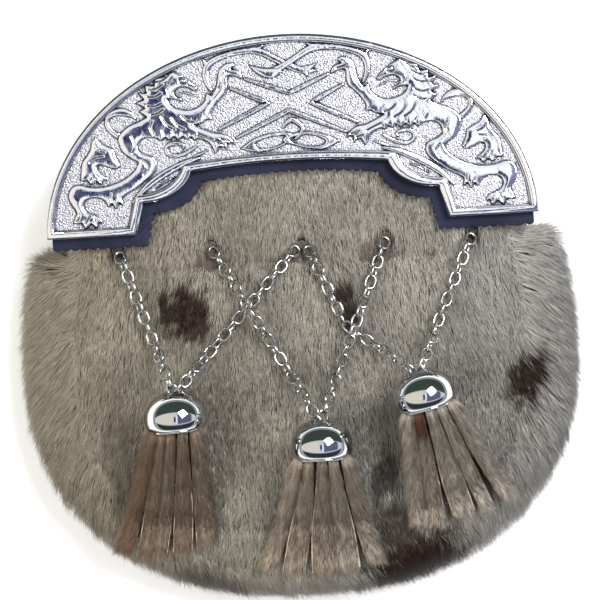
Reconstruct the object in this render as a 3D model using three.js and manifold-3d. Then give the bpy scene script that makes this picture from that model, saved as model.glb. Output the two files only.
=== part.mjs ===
// A dress sporran: a hollow fur pouch under a cast cantle, with three chains and three tassels.
// It lies on its back. +Z comes out of the front, +Y runs up to the crown of the cantle and
// +X to the right of someone looking at the front. Lengths are millimetres.
// Inside this file y = 0 is the line of the cantle's arm ends; the group is moved at the end so
// that the origin is under the middle of the whole object.

import * as THREE from "three";
import { mergeVertices } from "three/addons/utils/BufferGeometryUtils.js";
import Module from "manifold-3d";

const wasm = await Module();
wasm.setup();

// ---------------------------------------------------------------- driving dimensions

const GAP = 0.3; // left between pieces that touch
const SEAM_GAP = 0.6; // and next to the curved walls of the pouch
const LYING_GAP = 0.7; // and under what lies on its belly

// The cantle, a half ellipse with two arms.
const CANTLE_HALF_WIDTH = 82.5;
const CANTLE_HEIGHT = 64.4;
const ARM_END_X = 52.5; // inner corner of an arm's end
const ARM_TOP_X = 50; // where the arm meets the leaf in the inner corner
const ARM_TOP_Y = 10.5;
const LEAF_END_X = 33.2; // where the leaf meets the inner edge
const LEAF_END_Y = 20;
const INNER_CROWN_Y = 24; // control height of the inner edge's slight arch
const PLATE_THICKNESS = 2;
const RIM_WIDTH = 2.2;
const RIM_RISE = 1.7;
const CROSS_CENTRE_Y = 42;
const CROSS_HALF_WIDTH = 17;
const CROSS_HALF_HEIGHT = 13;
const CROSS_BAR_WIDTH = 5;
const CROSS_RISE = 1.2;

// The leather under the cantle, which shows as a scalloped border.
const TRIM_THICKNESS = 1.5;
const TRIM_SETBACK = 1.5; // inside the cantle's outer edge
const TRIM_REACH = 3; // past the cantle's inner edge
const TRIM_DROP = 3.4; // past the arm ends
const SCALLOP_PITCH = 4.6;
const SCALLOP_DEPTH = 0.8;
const POINTS_PER_SCALLOP = 4;

// The pouch. Its outlines are superellipses about one centre.
const POUCH_CENTRE_Y = -45;
const ROUNDNESS = 2.25; // superellipse exponent
const POUCH_HALF_WIDTH = 94;
const POUCH_BELOW = 79.5;
const POUCH_ABOVE = 105;
const PANEL_HALF_WIDTH = 77; // the front panel
const PANEL_BELOW = 73;
const PANEL_ABOVE = 100;
const FUR_WALL = 4; // hide and pile together
const LEATHER_WALL = 2;
const SEAM_LAP = 3; // how far a panel's edge laps over the gusset
const BACK_TURN = 10; // how far the gusset turns in to the back seam
const TUCK = 3; // how far the gusset stays inside the cantle's edge
const TUCK_FROM_Y = -7; // between these heights it draws in behind the cantle
const TUCK_TO_Y = 3;

// Heights above the surface that the pouch lies on.
const FRONT_SEAM_Z = 28.5;
const FRONT_Z = 32; // fur under the trim
const FRONT_EDGE_RISE = 1.2; // height of the front panel's outer edge
const EDGE_ROUND_FROM = 0.82; // share of the radius where the front panel starts to round off
const BELLY_RISE = 4.5;
const BELLY_HALF_WIDTH = 76;
const BELLY_HALF_LENGTH = 46;
const BELLY_CENTRE_Y = -55;
const BACK_SLOPE_FROM_Y = -12; // above this the back rises towards the mouth
const BACK_SLOPE = 0.21;
const MOUTH_HALF_WIDTH = 52;
const MOUTH_FROM_Y = 38;

// Belt loops on the back.
const LOOP_WIDTH = 20;
const LOOP_X = 31;
const LOOP_THICKNESS = 2;
const LOOP_FOOT_Y = 0;
const LOOP_HEAD_Y = 44;
const LOOP_FOOT_TURN = 9; // length of the turn down from the foot to the flat run
const LOOP_HEAD_TURN = 18; // length of the turn up from the flat run to the head
const LOOP_HEAD_TAB = 6; // the flat end that is sewn at the head
const LOOP_TAB_DROP = 1.6; // how far the back falls along that end

// Chains of oval links.
const LINK_LENGTH = 5.6;
const LINK_WIDTH = 4.1;
const WIRE_RADIUS = 0.48;
const LINK_PITCH = 3.75; // a little over the free pitch, so that each link bears on the next
const LINK_TILT = Math.PI / 4;
const CHAIN_LIFT = 2.8; // centre of a chain above what it lies on
const CROSSING_LIFT = 4.9;
const CROSSING_FLAT = 3.5; // half length of the flat top of the hump where one chain crosses another
const CROSSING_LENGTH = 14; // half length of the whole hump
const CHAIN_IN_CAP = 1.6; // how far a chain's end goes into the cap
const CHAIN_CLIMB_TO = 2; // a chain is level with the cap's hole this far from it
const CHAIN_CLIMB_FROM = 19; // and lies on the fur beyond this distance

// Tassels: a bell cap over a fringe of fur strips.
const CAP_RADIUS = 10.2;
const CAP_HEIGHT = 14;
const CAP_WALL = 1;
const CAP_HOLE_RADIUS = 3.4;
const CAP_RIM_FLARE = 0.5;
const CAP_LIP = 0.5; // the small chamfer round the hole
const CAP_DEPTHS = [0.03, 0.09, 0.2, 0.36, 0.56, 0.8]; // shares of the height that shape the bell
const STRIP_THICKNESS = 3.2;
const STRIP_ROOT_WIDTH = 3.8; // inside the cap
const STRIP_HIDDEN = 5; // length inside the cap
const CAP_MOUTH_THICKNESS = 9.4; // height of the bundle of strips where it leaves the cap
const FAN_RADIUS = 8; // the strips spread as if from a point this far above their start

const SILVER = { color: 0xb9bcc4, roughness: 0.25, metalness: 1 };
const BLACK_LEATHER = { color: 0x1c1d26, roughness: 0.5, metalness: 0 };
const SEAL_FUR = { color: 0x8a837a, roughness: 0.9, metalness: 0 };
const BROWN_FUR = { color: 0x6a5a4a, roughness: 0.9, metalness: 0 };

// ---------------------------------------------------------------- outlines and heights

function smooth(value, from, to) {
  return THREE.MathUtils.smoothstep(value, from, to);
}

// Radius of a superellipse in the direction of an angle, with its own height above and below.
function superRadius(angle, halfWidth, above, below) {
  const halfHeight = Math.sin(angle) > 0 ? above : below;
  const across = Math.abs(Math.cos(angle) / halfWidth) ** ROUNDNESS;
  const along = Math.abs(Math.sin(angle) / halfHeight) ** ROUNDNESS;
  return (across + along) ** (-1 / ROUNDNESS);
}

// Radius from the pouch's centre to the cantle's half ellipse, drawn in by an inset.
function cantleRadius(angle, inset) {
  const a = CANTLE_HALF_WIDTH - inset;
  const b = CANTLE_HEIGHT - inset;
  const c = Math.cos(angle);
  const s = Math.sin(angle);
  const p = (c / a) ** 2 + (s / b) ** 2;
  const q = (s * POUCH_CENTRE_Y) / b ** 2;
  const r = (POUCH_CENTRE_Y / b) ** 2 - 1;
  return (-q + Math.sqrt(q * q - p * r)) / p;
}

// The pouch's widest outline: free below the arm ends, tucked behind the cantle above them.
function pouchRadius(angle) {
  const free = superRadius(angle, POUCH_HALF_WIDTH, POUCH_ABOVE, POUCH_BELOW);
  const height = POUCH_CENTRE_Y + free * Math.sin(angle);
  const tucked = Math.min(free, cantleRadius(angle, TUCK));
  return THREE.MathUtils.lerp(free, tucked, smooth(height, TUCK_FROM_Y, TUCK_TO_Y));
}

function panelRadius(angle) {
  return superRadius(angle, PANEL_HALF_WIDTH, PANEL_ABOVE, PANEL_BELOW);
}

// Outer face of the front panel: flat under the trim, swelling to a belly below it.
function frontHeight(x, y) {
  const across = 1 - (x / BELLY_HALF_WIDTH) ** 2;
  const along = 1 - ((y - BELLY_CENTRE_Y) / BELLY_HALF_LENGTH) ** 2;
  const belly = Math.max(across, 0) * Math.max(along, 0);
  return FRONT_Z + BELLY_RISE * Math.sqrt(belly) * smooth(belly, 0, 0.3);
}

// Outer face of the back: flat where the pouch lies, rising to the mouth.
function backHeight(y) {
  return Math.max(0, BACK_SLOPE * (y - BACK_SLOPE_FROM_Y));
}

// ---------------------------------------------------------------- solids

function solidOf(geometry) {
  const bare = geometry.clone();
  bare.deleteAttribute("normal");
  bare.deleteAttribute("uv");
  const merged = mergeVertices(bare, 1e-4);
  const vertProperties = Float32Array.from(merged.attributes.position.array);
  const triVerts = Uint32Array.from(merged.index.array);
  return new wasm.Manifold(new wasm.Mesh({ numProp: 3, vertProperties, triVerts }));
}

function geometryOf(solid) {
  const mesh = solid.getMesh();
  const geometry = new THREE.BufferGeometry();
  geometry.setAttribute("position", new THREE.BufferAttribute(mesh.vertProperties, 3));
  geometry.setIndex(new THREE.BufferAttribute(mesh.triVerts, 1));
  return geometry;
}

function joined(geometries) {
  return geometryOf(geometries.map(solidOf).reduce((whole, next) => whole.add(next)));
}

function slab(shape, bottom, thickness, curveSegments = 12) {
  const geometry = new THREE.ExtrudeGeometry(shape, {
    depth: thickness,
    bevelEnabled: false,
    curveSegments,
  });
  return geometry.translate(0, 0, bottom);
}

// A lathe turned from a wall's section, whose every point is then moved by place(share, angle,
// level) from the round form to the pouch's own outline. share is the section's x, level its y.
function turnedWall(section, sectors, place) {
  const geometry = new THREE.LatheGeometry(section, sectors);
  const position = geometry.attributes.position;
  const point = new THREE.Vector3();
  for (let i = 0; i < position.count; i += 1) {
    point.fromBufferAttribute(position, i);
    const share = Math.hypot(point.x, point.z);
    const angle = Math.atan2(point.x, point.z);
    const placed = place(share, angle, point.y);
    position.setXYZ(i, placed.x, placed.y, placed.z);
  }
  return geometry;
}

function polar(radius, angle, z) {
  const x = radius * Math.cos(angle);
  const y = POUCH_CENTRE_Y + radius * Math.sin(angle);
  return new THREE.Vector3(x, y, z);
}

// ---------------------------------------------------------------- cantle and trim

// The cantle's inner edge from left to right, moved by reach towards the open middle.
function addInnerEdge(path, reach) {
  const armX = ARM_TOP_X - reach;
  const armY = ARM_TOP_Y - reach;
  const leafX = LEAF_END_X - reach;
  const leafY = LEAF_END_Y - reach;
  path.lineTo(-armX, armY - 1);
  path.quadraticCurveTo(-armX, armY, -(armX - 1.5), armY + 0.1);
  path.bezierCurveTo(-(armX - 8), armY, -(leafX + 1.3), leafY - 6, -leafX, leafY);
  path.quadraticCurveTo(0, INNER_CROWN_Y - reach, leafX, leafY);
  path.bezierCurveTo(leafX + 1.3, leafY - 6, armX - 8, armY, armX - 1.5, armY + 0.1);
  path.quadraticCurveTo(armX, armY, armX, armY - 1);
}

function cantleOutline(inset) {
  const shape = new THREE.Shape();
  const a = CANTLE_HALF_WIDTH - inset;
  const b = CANTLE_HEIGHT - inset;
  const lift = Math.asin(inset / b);
  shape.absellipse(0, 0, a, b, lift, Math.PI - lift, false);
  shape.lineTo(-(ARM_END_X + inset), inset);
  addInnerEdge(shape, -inset);
  shape.lineTo(ARM_END_X + inset, inset);
  return shape;
}

function crossBar(side) {
  const bar = new THREE.Shape();
  const reachX = CROSS_HALF_WIDTH;
  const reachY = CROSS_HALF_HEIGHT;
  const length = Math.hypot(reachX, reachY);
  const dx = (CROSS_BAR_WIDTH / 2) * (reachY / length);
  const dy = (CROSS_BAR_WIDTH / 2) * (reachX / length);
  bar.moveTo(side * (-reachX - dx), -reachY + dy);
  bar.lineTo(side * (-reachX + dx), -reachY - dy);
  bar.lineTo(side * (reachX + dx), reachY - dy);
  bar.lineTo(side * (reachX - dx), reachY + dy);
  return bar;
}

const trimBottom = FRONT_Z + SEAM_GAP;
const cantleBottom = trimBottom + TRIM_THICKNESS + GAP;
const plateTop = cantleBottom + PLATE_THICKNESS;

function cantle() {
  const bite = 0.5; // how far raised parts sink into the plate
  const rim = cantleOutline(0);
  rim.holes.push(new THREE.Path(cantleOutline(RIM_WIDTH).getPoints(10)));
  const raised = [slab(rim, plateTop - bite, RIM_RISE + bite, 10)];
  for (const side of [-1, 1]) {
    const bar = slab(crossBar(side), plateTop - bite, CROSS_RISE + bite);
    raised.push(bar.translate(0, CROSS_CENTRE_Y, 0));
  }
  return joined([slab(cantleOutline(0), cantleBottom, PLATE_THICKNESS, 10), ...raised]);
}

function leatherTrim() {
  const a = CANTLE_HALF_WIDTH - TRIM_SETBACK;
  const b = CANTLE_HEIGHT - TRIM_SETBACK;
  const edge = new THREE.Path();
  edge.moveTo(-a, -TRIM_DROP);
  edge.lineTo(-(ARM_END_X - TRIM_REACH), -TRIM_DROP);
  addInnerEdge(edge, TRIM_REACH);
  edge.lineTo(ARM_END_X - TRIM_REACH, -TRIM_DROP);
  edge.lineTo(a, -TRIM_DROP);
  const scallops = Math.round(edge.getLength() / SCALLOP_PITCH);
  const steps = scallops * POINTS_PER_SCALLOP;
  const shape = new THREE.Shape();
  shape.absellipse(0, 0, a, b, 0, Math.PI, false);
  for (let i = 0; i <= steps; i += 1) {
    const share = i / steps;
    const point = edge.getPointAt(share);
    const along = edge.getTangentAt(share);
    const swell = SCALLOP_DEPTH * Math.sin((Math.PI * (i % POINTS_PER_SCALLOP)) / POINTS_PER_SCALLOP);
    shape.lineTo(point.x + along.y * swell, point.y - along.x * swell);
  }
  return slab(shape, trimBottom, TRIM_THICKNESS, 24);
}

// ---------------------------------------------------------------- pouch

// Shares of the radius at which a panel's two faces are shaped.
const PANEL_RINGS = [0.35, 0.62, 0.8, 0.91, 0.98];
const PANEL_SECTORS = 44;

// A panel's section: out along one face, round the edge and back along the other.
function panelSection() {
  const outward = PANEL_RINGS.map((share) => new THREE.Vector2(share, 0));
  const inward = [...PANEL_RINGS].reverse().map((share) => new THREE.Vector2(share, 1));
  return [
    new THREE.Vector2(0, 0),
    ...outward,
    new THREE.Vector2(1, 0),
    new THREE.Vector2(1, 1),
    ...inward,
    new THREE.Vector2(0, 1),
  ];
}

function frontPanel() {
  const lowest = FRONT_SEAM_Z + GAP;
  return turnedWall(panelSection(), PANEL_SECTORS, (share, angle, level) => {
    const placed = polar(share * panelRadius(angle), angle, 0);
    const inside = frontHeight(placed.x, placed.y);
    const fall = smooth(share, EDGE_ROUND_FROM, 1) ** 2;
    const outer = THREE.MathUtils.lerp(inside, lowest + FRONT_EDGE_RISE, fall);
    const inner = Math.max(lowest, Math.min(inside - FUR_WALL, outer - FRONT_EDGE_RISE));
    placed.z = level > 0.5 ? outer : inner;
    return placed;
  });
}

function backPanel() {
  return turnedWall(panelSection(), PANEL_SECTORS, (share, angle, level) => {
    const reach = pouchRadius(angle) - BACK_TURN + SEAM_LAP;
    const placed = polar(share * reach, angle, 0);
    placed.z = backHeight(placed.y) + (level > 0.5 ? LEATHER_WALL : 0);
    return placed;
  });
}

const GUSSET_SECTORS = 50;
const GUSSET_STEPS = 6; // points from the back seam to the front seam

// The gusset bulges from the back seam out to the pouch's widest outline and in to the front
// seam. Its section has an outer face, share 2, and an inner face, share 1.
function gussetRing() {
  const section = [];
  for (let i = 0; i < GUSSET_STEPS; i += 1) {
    section.push(new THREE.Vector2(2, i));
  }
  for (let i = GUSSET_STEPS - 1; i >= 0; i -= 1) {
    section.push(new THREE.Vector2(1, i));
  }
  section.push(section[0].clone());
  return turnedWall(section, GUSSET_SECTORS, (share, angle, level) => {
    const bulge = Math.PI * (level / (GUSSET_STEPS - 1) - 0.5);
    const widest = pouchRadius(angle);
    const frontSeam = Math.min(panelRadius(angle) - SEAM_LAP, widest - FUR_WALL);
    const seam = bulge > 0 ? frontSeam : widest - BACK_TURN;
    const y = POUCH_CENTRE_Y + seam * Math.sin(angle);
    const backSeamZ = backHeight(y) + LEATHER_WALL + SEAM_GAP;
    const middle = (FRONT_SEAM_Z + backSeamZ) / 2;
    const half = (FRONT_SEAM_Z - backSeamZ) / 2;
    const wall = share > 1.5 ? 0 : 1;
    const height = half - wall * (FUR_WALL / 2);
    const inset = wall * FUR_WALL;
    const radius = seam - inset / 2 + (widest - seam - inset / 2) * Math.cos(bulge);
    return polar(radius, angle, middle + height * Math.sin(bulge));
  });
}

// The mouth is a wedge cut out of the ring at the top.
function gusset() {
  const slope = (MOUTH_FROM_Y - POUCH_CENTRE_Y) / MOUTH_HALF_WIDTH;
  const far = 2 * MOUTH_HALF_WIDTH;
  const wedge = new THREE.Shape();
  wedge.moveTo(0, POUCH_CENTRE_Y);
  wedge.lineTo(far, POUCH_CENTRE_Y + far * slope);
  wedge.lineTo(-far, POUCH_CENTRE_Y + far * slope);
  const cutter = slab(wedge, -1, FRONT_Z);
  return geometryOf(solidOf(gussetRing()).subtract(solidOf(cutter)));
}

// One loop, its side profile drawn in y and z and extruded across its width. The belt passes
// between it and the sloping back.
function beltLoop() {
  const t = LOOP_THICKNESS;
  const profile = new THREE.Shape();
  const foot = { y: LOOP_FOOT_Y, z: backHeight(LOOP_FOOT_Y) - GAP };
  const head = { y: LOOP_HEAD_Y, z: backHeight(LOOP_HEAD_Y) - GAP };
  const flatFrom = foot.y + LOOP_FOOT_TURN;
  const flatTo = head.y - LOOP_HEAD_TURN;
  const tab = head.y - LOOP_HEAD_TAB;
  profile.moveTo(foot.y, foot.z - t);
  profile.quadraticCurveTo(foot.y + LOOP_FOOT_TURN / 2, 0, flatFrom, 0);
  profile.lineTo(flatTo, 0);
  profile.quadraticCurveTo(tab - t * 2, 0, tab, head.z - t - LOOP_TAB_DROP);
  profile.lineTo(head.y, head.z - t);
  profile.lineTo(head.y, head.z);
  profile.lineTo(tab - GAP * 2, head.z - LOOP_TAB_DROP);
  profile.quadraticCurveTo(tab - t * 2.5, t, flatTo, t);
  profile.lineTo(flatFrom, t);
  profile.quadraticCurveTo(foot.y + LOOP_FOOT_TURN / 2, t, foot.y, foot.z);
  const geometry = slab(profile, -LOOP_WIDTH / 2, LOOP_WIDTH, 4);
  return geometry.applyMatrix4(new THREE.Matrix4().makeBasis(
    new THREE.Vector3(0, 1, 0),
    new THREE.Vector3(0, 0, 1),
    new THREE.Vector3(1, 0, 0),
  ));
}

// ---------------------------------------------------------------- tassels

// Where each tassel's cap starts, how far it leans to the right of straight down, and its strips:
// the lean of each strip past the cap's own, its length, and its width at the cap and at the tip.
const TASSELS = [
  {
    name: "left",
    x: -43,
    y: -52.7,
    lean: 3,
    strips: [
      { lean: -22, length: 40, width: 7 },
      { lean: -15, length: 40, width: 8 },
      { lean: -8, length: 40, width: 8 },
      { lean: -2, length: 40, width: 8 },
      { lean: 6, length: 38, width: 7 },
    ],
  },
  {
    name: "middle",
    x: 5.3,
    y: -64.7,
    lean: 0,
    strips: [
      { lean: -22, length: 35, width: 8.5 },
      { lean: -11, length: 37, width: 9.5 },
      { lean: -1, length: 38, width: 9.5 },
      { lean: 8, length: 37, width: 9 },
      { lean: 18, length: 35, width: 9 },
    ],
  },
  {
    name: "right",
    x: 38.4,
    y: -50.3,
    lean: 12,
    strips: [
      { lean: -15, length: 36, width: 8 },
      { lean: -6, length: 37, width: 9 },
      { lean: 1, length: 37, width: 9 },
      { lean: 10, length: 37, width: 8 },
      { lean: 20, length: 37, width: 7 },
    ],
  },
];

function tasselAxis(tassel) {
  const lean = THREE.MathUtils.degToRad(tassel.lean);
  return new THREE.Vector2(Math.sin(lean), -Math.cos(lean));
}

// Height of a cap's axis: the bell lies on the fur at its middle.
function axisHeight(tassel) {
  const axis = tasselAxis(tassel);
  const middle = 0.6 * CAP_HEIGHT;
  const under = frontHeight(tassel.x + axis.x * middle, tassel.y + axis.y * middle);
  return under + LYING_GAP + CAP_RADIUS + CAP_RIM_FLARE;
}

// The bell's outer radius at a depth below its top.
function bellRadius(depth) {
  const share = 1 - depth / CAP_HEIGHT;
  const round = CAP_RADIUS * Math.sqrt(Math.max(0, 1 - share ** 2.4));
  return Math.max(CAP_HOLE_RADIUS, round);
}

function cap(tassel) {
  const outer = CAP_DEPTHS.map((d) => new THREE.Vector2(bellRadius(d * CAP_HEIGHT), d * CAP_HEIGHT));
  const inner = CAP_DEPTHS.map((d) => {
    const depth = d * CAP_HEIGHT;
    const radius = Math.max(CAP_HOLE_RADIUS - 0.2, bellRadius(depth) - CAP_WALL);
    return new THREE.Vector2(radius, depth + CAP_WALL);
  });
  const profile = [
    new THREE.Vector2(CAP_HOLE_RADIUS + CAP_LIP, 0),
    ...outer,
    new THREE.Vector2(CAP_RADIUS + CAP_RIM_FLARE, CAP_HEIGHT),
    new THREE.Vector2(CAP_RADIUS - CAP_WALL, CAP_HEIGHT),
    ...inner.reverse().slice(1),
    new THREE.Vector2(CAP_HOLE_RADIUS, CAP_LIP),
  ];
  profile.push(profile[0].clone());
  const geometry = new THREE.LatheGeometry(profile, 18);
  const axis = tasselAxis(tassel);
  const down = new THREE.Vector3(axis.x, axis.y, 0);
  const up = new THREE.Vector3(0, 0, 1);
  const basis = new THREE.Matrix4().makeBasis(new THREE.Vector3().crossVectors(down, up), down, up);
  return geometry.applyMatrix4(basis).translate(tassel.x, tassel.y, axisHeight(tassel));
}

const STRIP_STEPS = 6;

// One strip as a bar bent down from the cap's mouth to the fur. It starts inside the cap, deep as
// the bundle there, and thins to a single strip at the tip.
function strip(tassel, entry) {
  const start = CAP_HEIGHT - STRIP_HIDDEN;
  const capAxis = tasselAxis(tassel);
  const lean = THREE.MathUtils.degToRad(tassel.lean + entry.lean);
  const along = new THREE.Vector2(Math.sin(lean), -Math.cos(lean));
  const across = new THREE.Vector2(-along.y, along.x);
  const side = Math.sin(THREE.MathUtils.degToRad(entry.lean)) * FAN_RADIUS;
  const geometry = new THREE.BoxGeometry(1, 1, 1, 1, STRIP_STEPS, 1);
  const position = geometry.attributes.position;
  const axisZ = axisHeight(tassel);
  for (let i = 0; i < position.count; i += 1) {
    const share = 0.5 - position.getY(i);
    const reach = start + share * (entry.length + STRIP_HIDDEN);
    const width = THREE.MathUtils.lerp(STRIP_ROOT_WIDTH, entry.width, smooth(share, 0.05, 0.5));
    const cx = tassel.x + capAxis.x * start - capAxis.y * side + along.x * (reach - start);
    const cy = tassel.y + capAxis.y * start + capAxis.x * side + along.y * (reach - start);
    const x = cx + across.x * position.getX(i) * width;
    const y = cy + across.y * position.getX(i) * width;
    const onFur = frontHeight(x, y) + LYING_GAP;
    const bundle = smooth(share, 0.1, 0.9);
    const low = THREE.MathUtils.lerp(axisZ - CAP_MOUTH_THICKNESS / 2, onFur, smooth(share, 0.1, 0.45));
    const high = THREE.MathUtils.lerp(axisZ + CAP_MOUTH_THICKNESS / 2, onFur + STRIP_THICKNESS, bundle);
    position.setXYZ(i, x, y, position.getZ(i) > 0 ? high : low);
  }
  return geometry;
}

function strips(tassel) {
  return joined(tassel.strips.map((entry) => strip(tassel, entry)));
}

// ---------------------------------------------------------------- chains

// Each chain runs from a hole above, in through the top of a cap, and up to another hole.
// over lists the places where it passes over another chain; bends are points that it goes round.
const CHAINS = [
  { name: "left", tassel: 0, from: [-59.0, -7.4], to: [0.2, -8.6], bends: [], over: [] },
  {
    name: "middle",
    tassel: 1,
    from: [-27.8, -6.5],
    to: [30.9, -6.6],
    bends: [],
    over: [[-20.3, -31.1], [15.5, -34.2]],
  },
  { name: "right", tassel: 2, from: [5.4, -8.6], to: [59.8, -7.6], bends: [[15.8, -34.6]], over: [] },
];

function chainPath(chain) {
  const tassel = TASSELS[chain.tassel];
  const axis = tasselAxis(tassel);
  const hole = new THREE.Vector2(tassel.x, tassel.y);
  const inside = hole.clone().addScaledVector(axis, CHAIN_IN_CAP);
  const corners = [
    new THREE.Vector2(...chain.from),
    ...chain.bends.map((bend) => new THREE.Vector2(...bend)),
    inside,
    new THREE.Vector2(...chain.to),
  ];
  const flat = new THREE.CurvePath();
  for (let i = 1; i < corners.length; i += 1) {
    flat.add(new THREE.LineCurve(corners[i - 1], corners[i]));
  }
  const capZ = axisHeight(tassel);
  return {
    length: flat.getLength(),
    at(distance) {
      const point = flat.getPointAt(distance / flat.getLength());
      const lying = frontHeight(point.x, point.y) + CHAIN_LIFT;
      const near = point.distanceTo(hole);
      let z = THREE.MathUtils.lerp(capZ, lying, smooth(near, CHAIN_CLIMB_TO, CHAIN_CLIMB_FROM));
      for (const crossing of chain.over) {
        const away = point.distanceTo(new THREE.Vector2(...crossing));
        z += CROSSING_LIFT * (1 - smooth(away, CROSSING_FLAT, CROSSING_LENGTH));
      }
      return new THREE.Vector3(point.x, point.y, z);
    },
  };
}

// An oval link lying along X: a ring pulled out to its length.
function link() {
  const round = LINK_WIDTH / 2 - WIRE_RADIUS;
  const stretch = LINK_LENGTH / 2 - WIRE_RADIUS - round;
  const geometry = new THREE.TorusGeometry(round, WIRE_RADIUS * 1.15, 4, 6);
  const position = geometry.attributes.position;
  for (let i = 0; i < position.count; i += 1) {
    const x = position.getX(i);
    position.setX(i, x + Math.sign(x) * stretch);
  }
  return geometry;
}

function chain(entry) {
  const path = chainPath(entry);
  const count = Math.round(path.length / LINK_PITCH);
  const pitch = path.length / count;
  const links = [];
  for (let i = 0; i < count; i += 1) {
    const middle = (i + 0.5) * pitch;
    const before = path.at(Math.max(0, middle - pitch / 2));
    const after = path.at(Math.min(path.length, middle + pitch / 2));
    const along = after.clone().sub(before).normalize();
    const across = new THREE.Vector3(0, 0, 1).cross(along).normalize();
    const turn = new THREE.Matrix4().makeRotationX(i % 2 ? LINK_TILT : -LINK_TILT);
    const basis = new THREE.Matrix4().makeBasis(along, across, along.clone().cross(across));
    const centre = before.add(after).multiplyScalar(0.5);
    links.push(link().applyMatrix4(turn).applyMatrix4(basis).translate(centre.x, centre.y, centre.z));
  }
  return joined(links);
}

// ---------------------------------------------------------------- assembly

const group = new THREE.Group();

function addPiece(name, geometry, finish, position = [0, 0, 0]) {
  const mesh = new THREE.Mesh(geometry, new THREE.MeshStandardMaterial(finish));
  mesh.name = name;
  mesh.position.set(...position);
  group.add(mesh);
}

addPiece("back_panel", backPanel(), BLACK_LEATHER);
addPiece("gusset", gusset(), SEAL_FUR);
addPiece("front_panel", frontPanel(), SEAL_FUR);
addPiece("leather_trim", leatherTrim(), BLACK_LEATHER);
addPiece("cantle", cantle(), SILVER);
addPiece("belt_loop_left", beltLoop(), BLACK_LEATHER, [-LOOP_X, 0, 0]);
addPiece("belt_loop_right", beltLoop(), BLACK_LEATHER, [LOOP_X, 0, 0]);
for (const tassel of TASSELS) {
  addPiece(`tassel_cap_${tassel.name}`, cap(tassel), SILVER);
  addPiece(`tassel_strips_${tassel.name}`, strips(tassel), BROWN_FUR);
}
for (const entry of CHAINS) {
  addPiece(`chain_${entry.name}`, chain(entry), SILVER);
}

// The whole object runs from the foot of the pouch to the crown of the cantle.
group.position.y = (POUCH_BELOW - POUCH_CENTRE_Y - CANTLE_HEIGHT) / 2;

export default group;
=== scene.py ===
# %% [markdown]
# # A dress sporran pouch
# A sporran is the pouch worn in front of a kilt. This one is a hollow sealskin bag under a cast
# metal cantle, trimmed with scalloped leather and hung with three chains and three tassels.
# Every piece is made in millimetres from the line across the feet of the cantle, the chord line,
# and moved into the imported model's frame at the end, so that it lands where the CAD part is.

# %% Load the frame
import math

import bmesh
import bpy
import numpy as np
from mathutils import Matrix, Vector
from mathutils.geometry import delaunay_2d_cdt


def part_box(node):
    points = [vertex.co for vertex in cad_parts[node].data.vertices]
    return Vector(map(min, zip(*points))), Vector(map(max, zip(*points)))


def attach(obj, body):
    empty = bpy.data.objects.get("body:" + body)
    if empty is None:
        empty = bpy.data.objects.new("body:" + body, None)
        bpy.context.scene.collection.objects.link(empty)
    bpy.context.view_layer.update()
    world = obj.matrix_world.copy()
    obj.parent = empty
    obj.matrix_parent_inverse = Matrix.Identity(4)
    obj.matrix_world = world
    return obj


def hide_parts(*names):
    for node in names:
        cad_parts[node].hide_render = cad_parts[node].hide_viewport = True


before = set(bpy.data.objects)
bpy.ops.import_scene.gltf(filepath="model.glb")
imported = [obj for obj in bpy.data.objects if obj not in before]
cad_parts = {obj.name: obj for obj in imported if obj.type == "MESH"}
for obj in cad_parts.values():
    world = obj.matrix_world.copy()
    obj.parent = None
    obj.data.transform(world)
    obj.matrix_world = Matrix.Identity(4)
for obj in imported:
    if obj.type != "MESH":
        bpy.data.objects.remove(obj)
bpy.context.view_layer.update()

MM = 0.001
CHORD_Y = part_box("cantle")[0].y
TO_FRAME = Matrix.Translation((0, CHORD_Y, 0)) @ Matrix.Scale(MM, 4)
dice = np.random.default_rng(7)
print("nodes:", ", ".join(sorted(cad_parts)))

# %% [markdown]
# ## Levels
# The pouch is a stack: fur, leather, cast plate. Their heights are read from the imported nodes, so
# that the looks can't drift away from the construction.

# %% Heights of the stack, in millimetres
TRIM_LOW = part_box("leather_trim")[0].z / MM
TRIM_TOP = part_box("leather_trim")[1].z / MM
CANTLE_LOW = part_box("cantle")[0].z / MM
RIM_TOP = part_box("cantle")[1].z / MM
FIELD_Z = CANTLE_LOW + 2.0
FRONT_Z = TRIM_LOW - 0.6
FRONT_SEAM_Z = 28.5
print(f"trim {TRIM_LOW:.1f} to {TRIM_TOP:.1f}, cantle {CANTLE_LOW:.1f} to {RIM_TOP:.1f}")


# %% [markdown]
# ## Small tools for paths and pieces
# Cast ornament and cut leather are both flat outlines with some thickness. An outline can be
# drawn with curve objects, but a few points joined by Catmull-Rom curves are easier to edit in
# code: a point with a third value is kept as a sharp corner, such as the tip of a claw.

# %% Paths
def smoothstep(value, start, end):
    share = np.clip((value - start) / (end - start), 0, 1)
    return share * share * (3 - 2 * share)


def smooth_path(points, closed=True, samples=5):
    """A curve through the points. Points with a third value are corners."""
    spots = [np.array(point[:2], float) for point in points]
    corner = [len(point) > 2 for point in points]
    if not closed:
        corner[0] = corner[-1] = True
    count = len(spots)
    made = []
    for i in range(count if closed else count - 1):
        a, b = spots[i], spots[(i + 1) % count]
        chord = np.linalg.norm(b - a)
        leave = b - a if corner[i] else b - spots[i - 1]
        arrive = b - a if corner[(i + 1) % count] else spots[(i + 2) % count] - a
        leave = leave / np.linalg.norm(leave) * chord
        arrive = arrive / np.linalg.norm(arrive) * chord
        for t in np.arange(samples) / samples:
            made.append(
                (2 * t**3 - 3 * t**2 + 1) * a
                + (t**3 - 2 * t**2 + t) * leave
                + (3 * t**2 - 2 * t**3) * b
                + (t**3 - t**2) * arrive
            )
    if not closed:
        made.append(spots[-1])
    return np.array(made)


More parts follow.
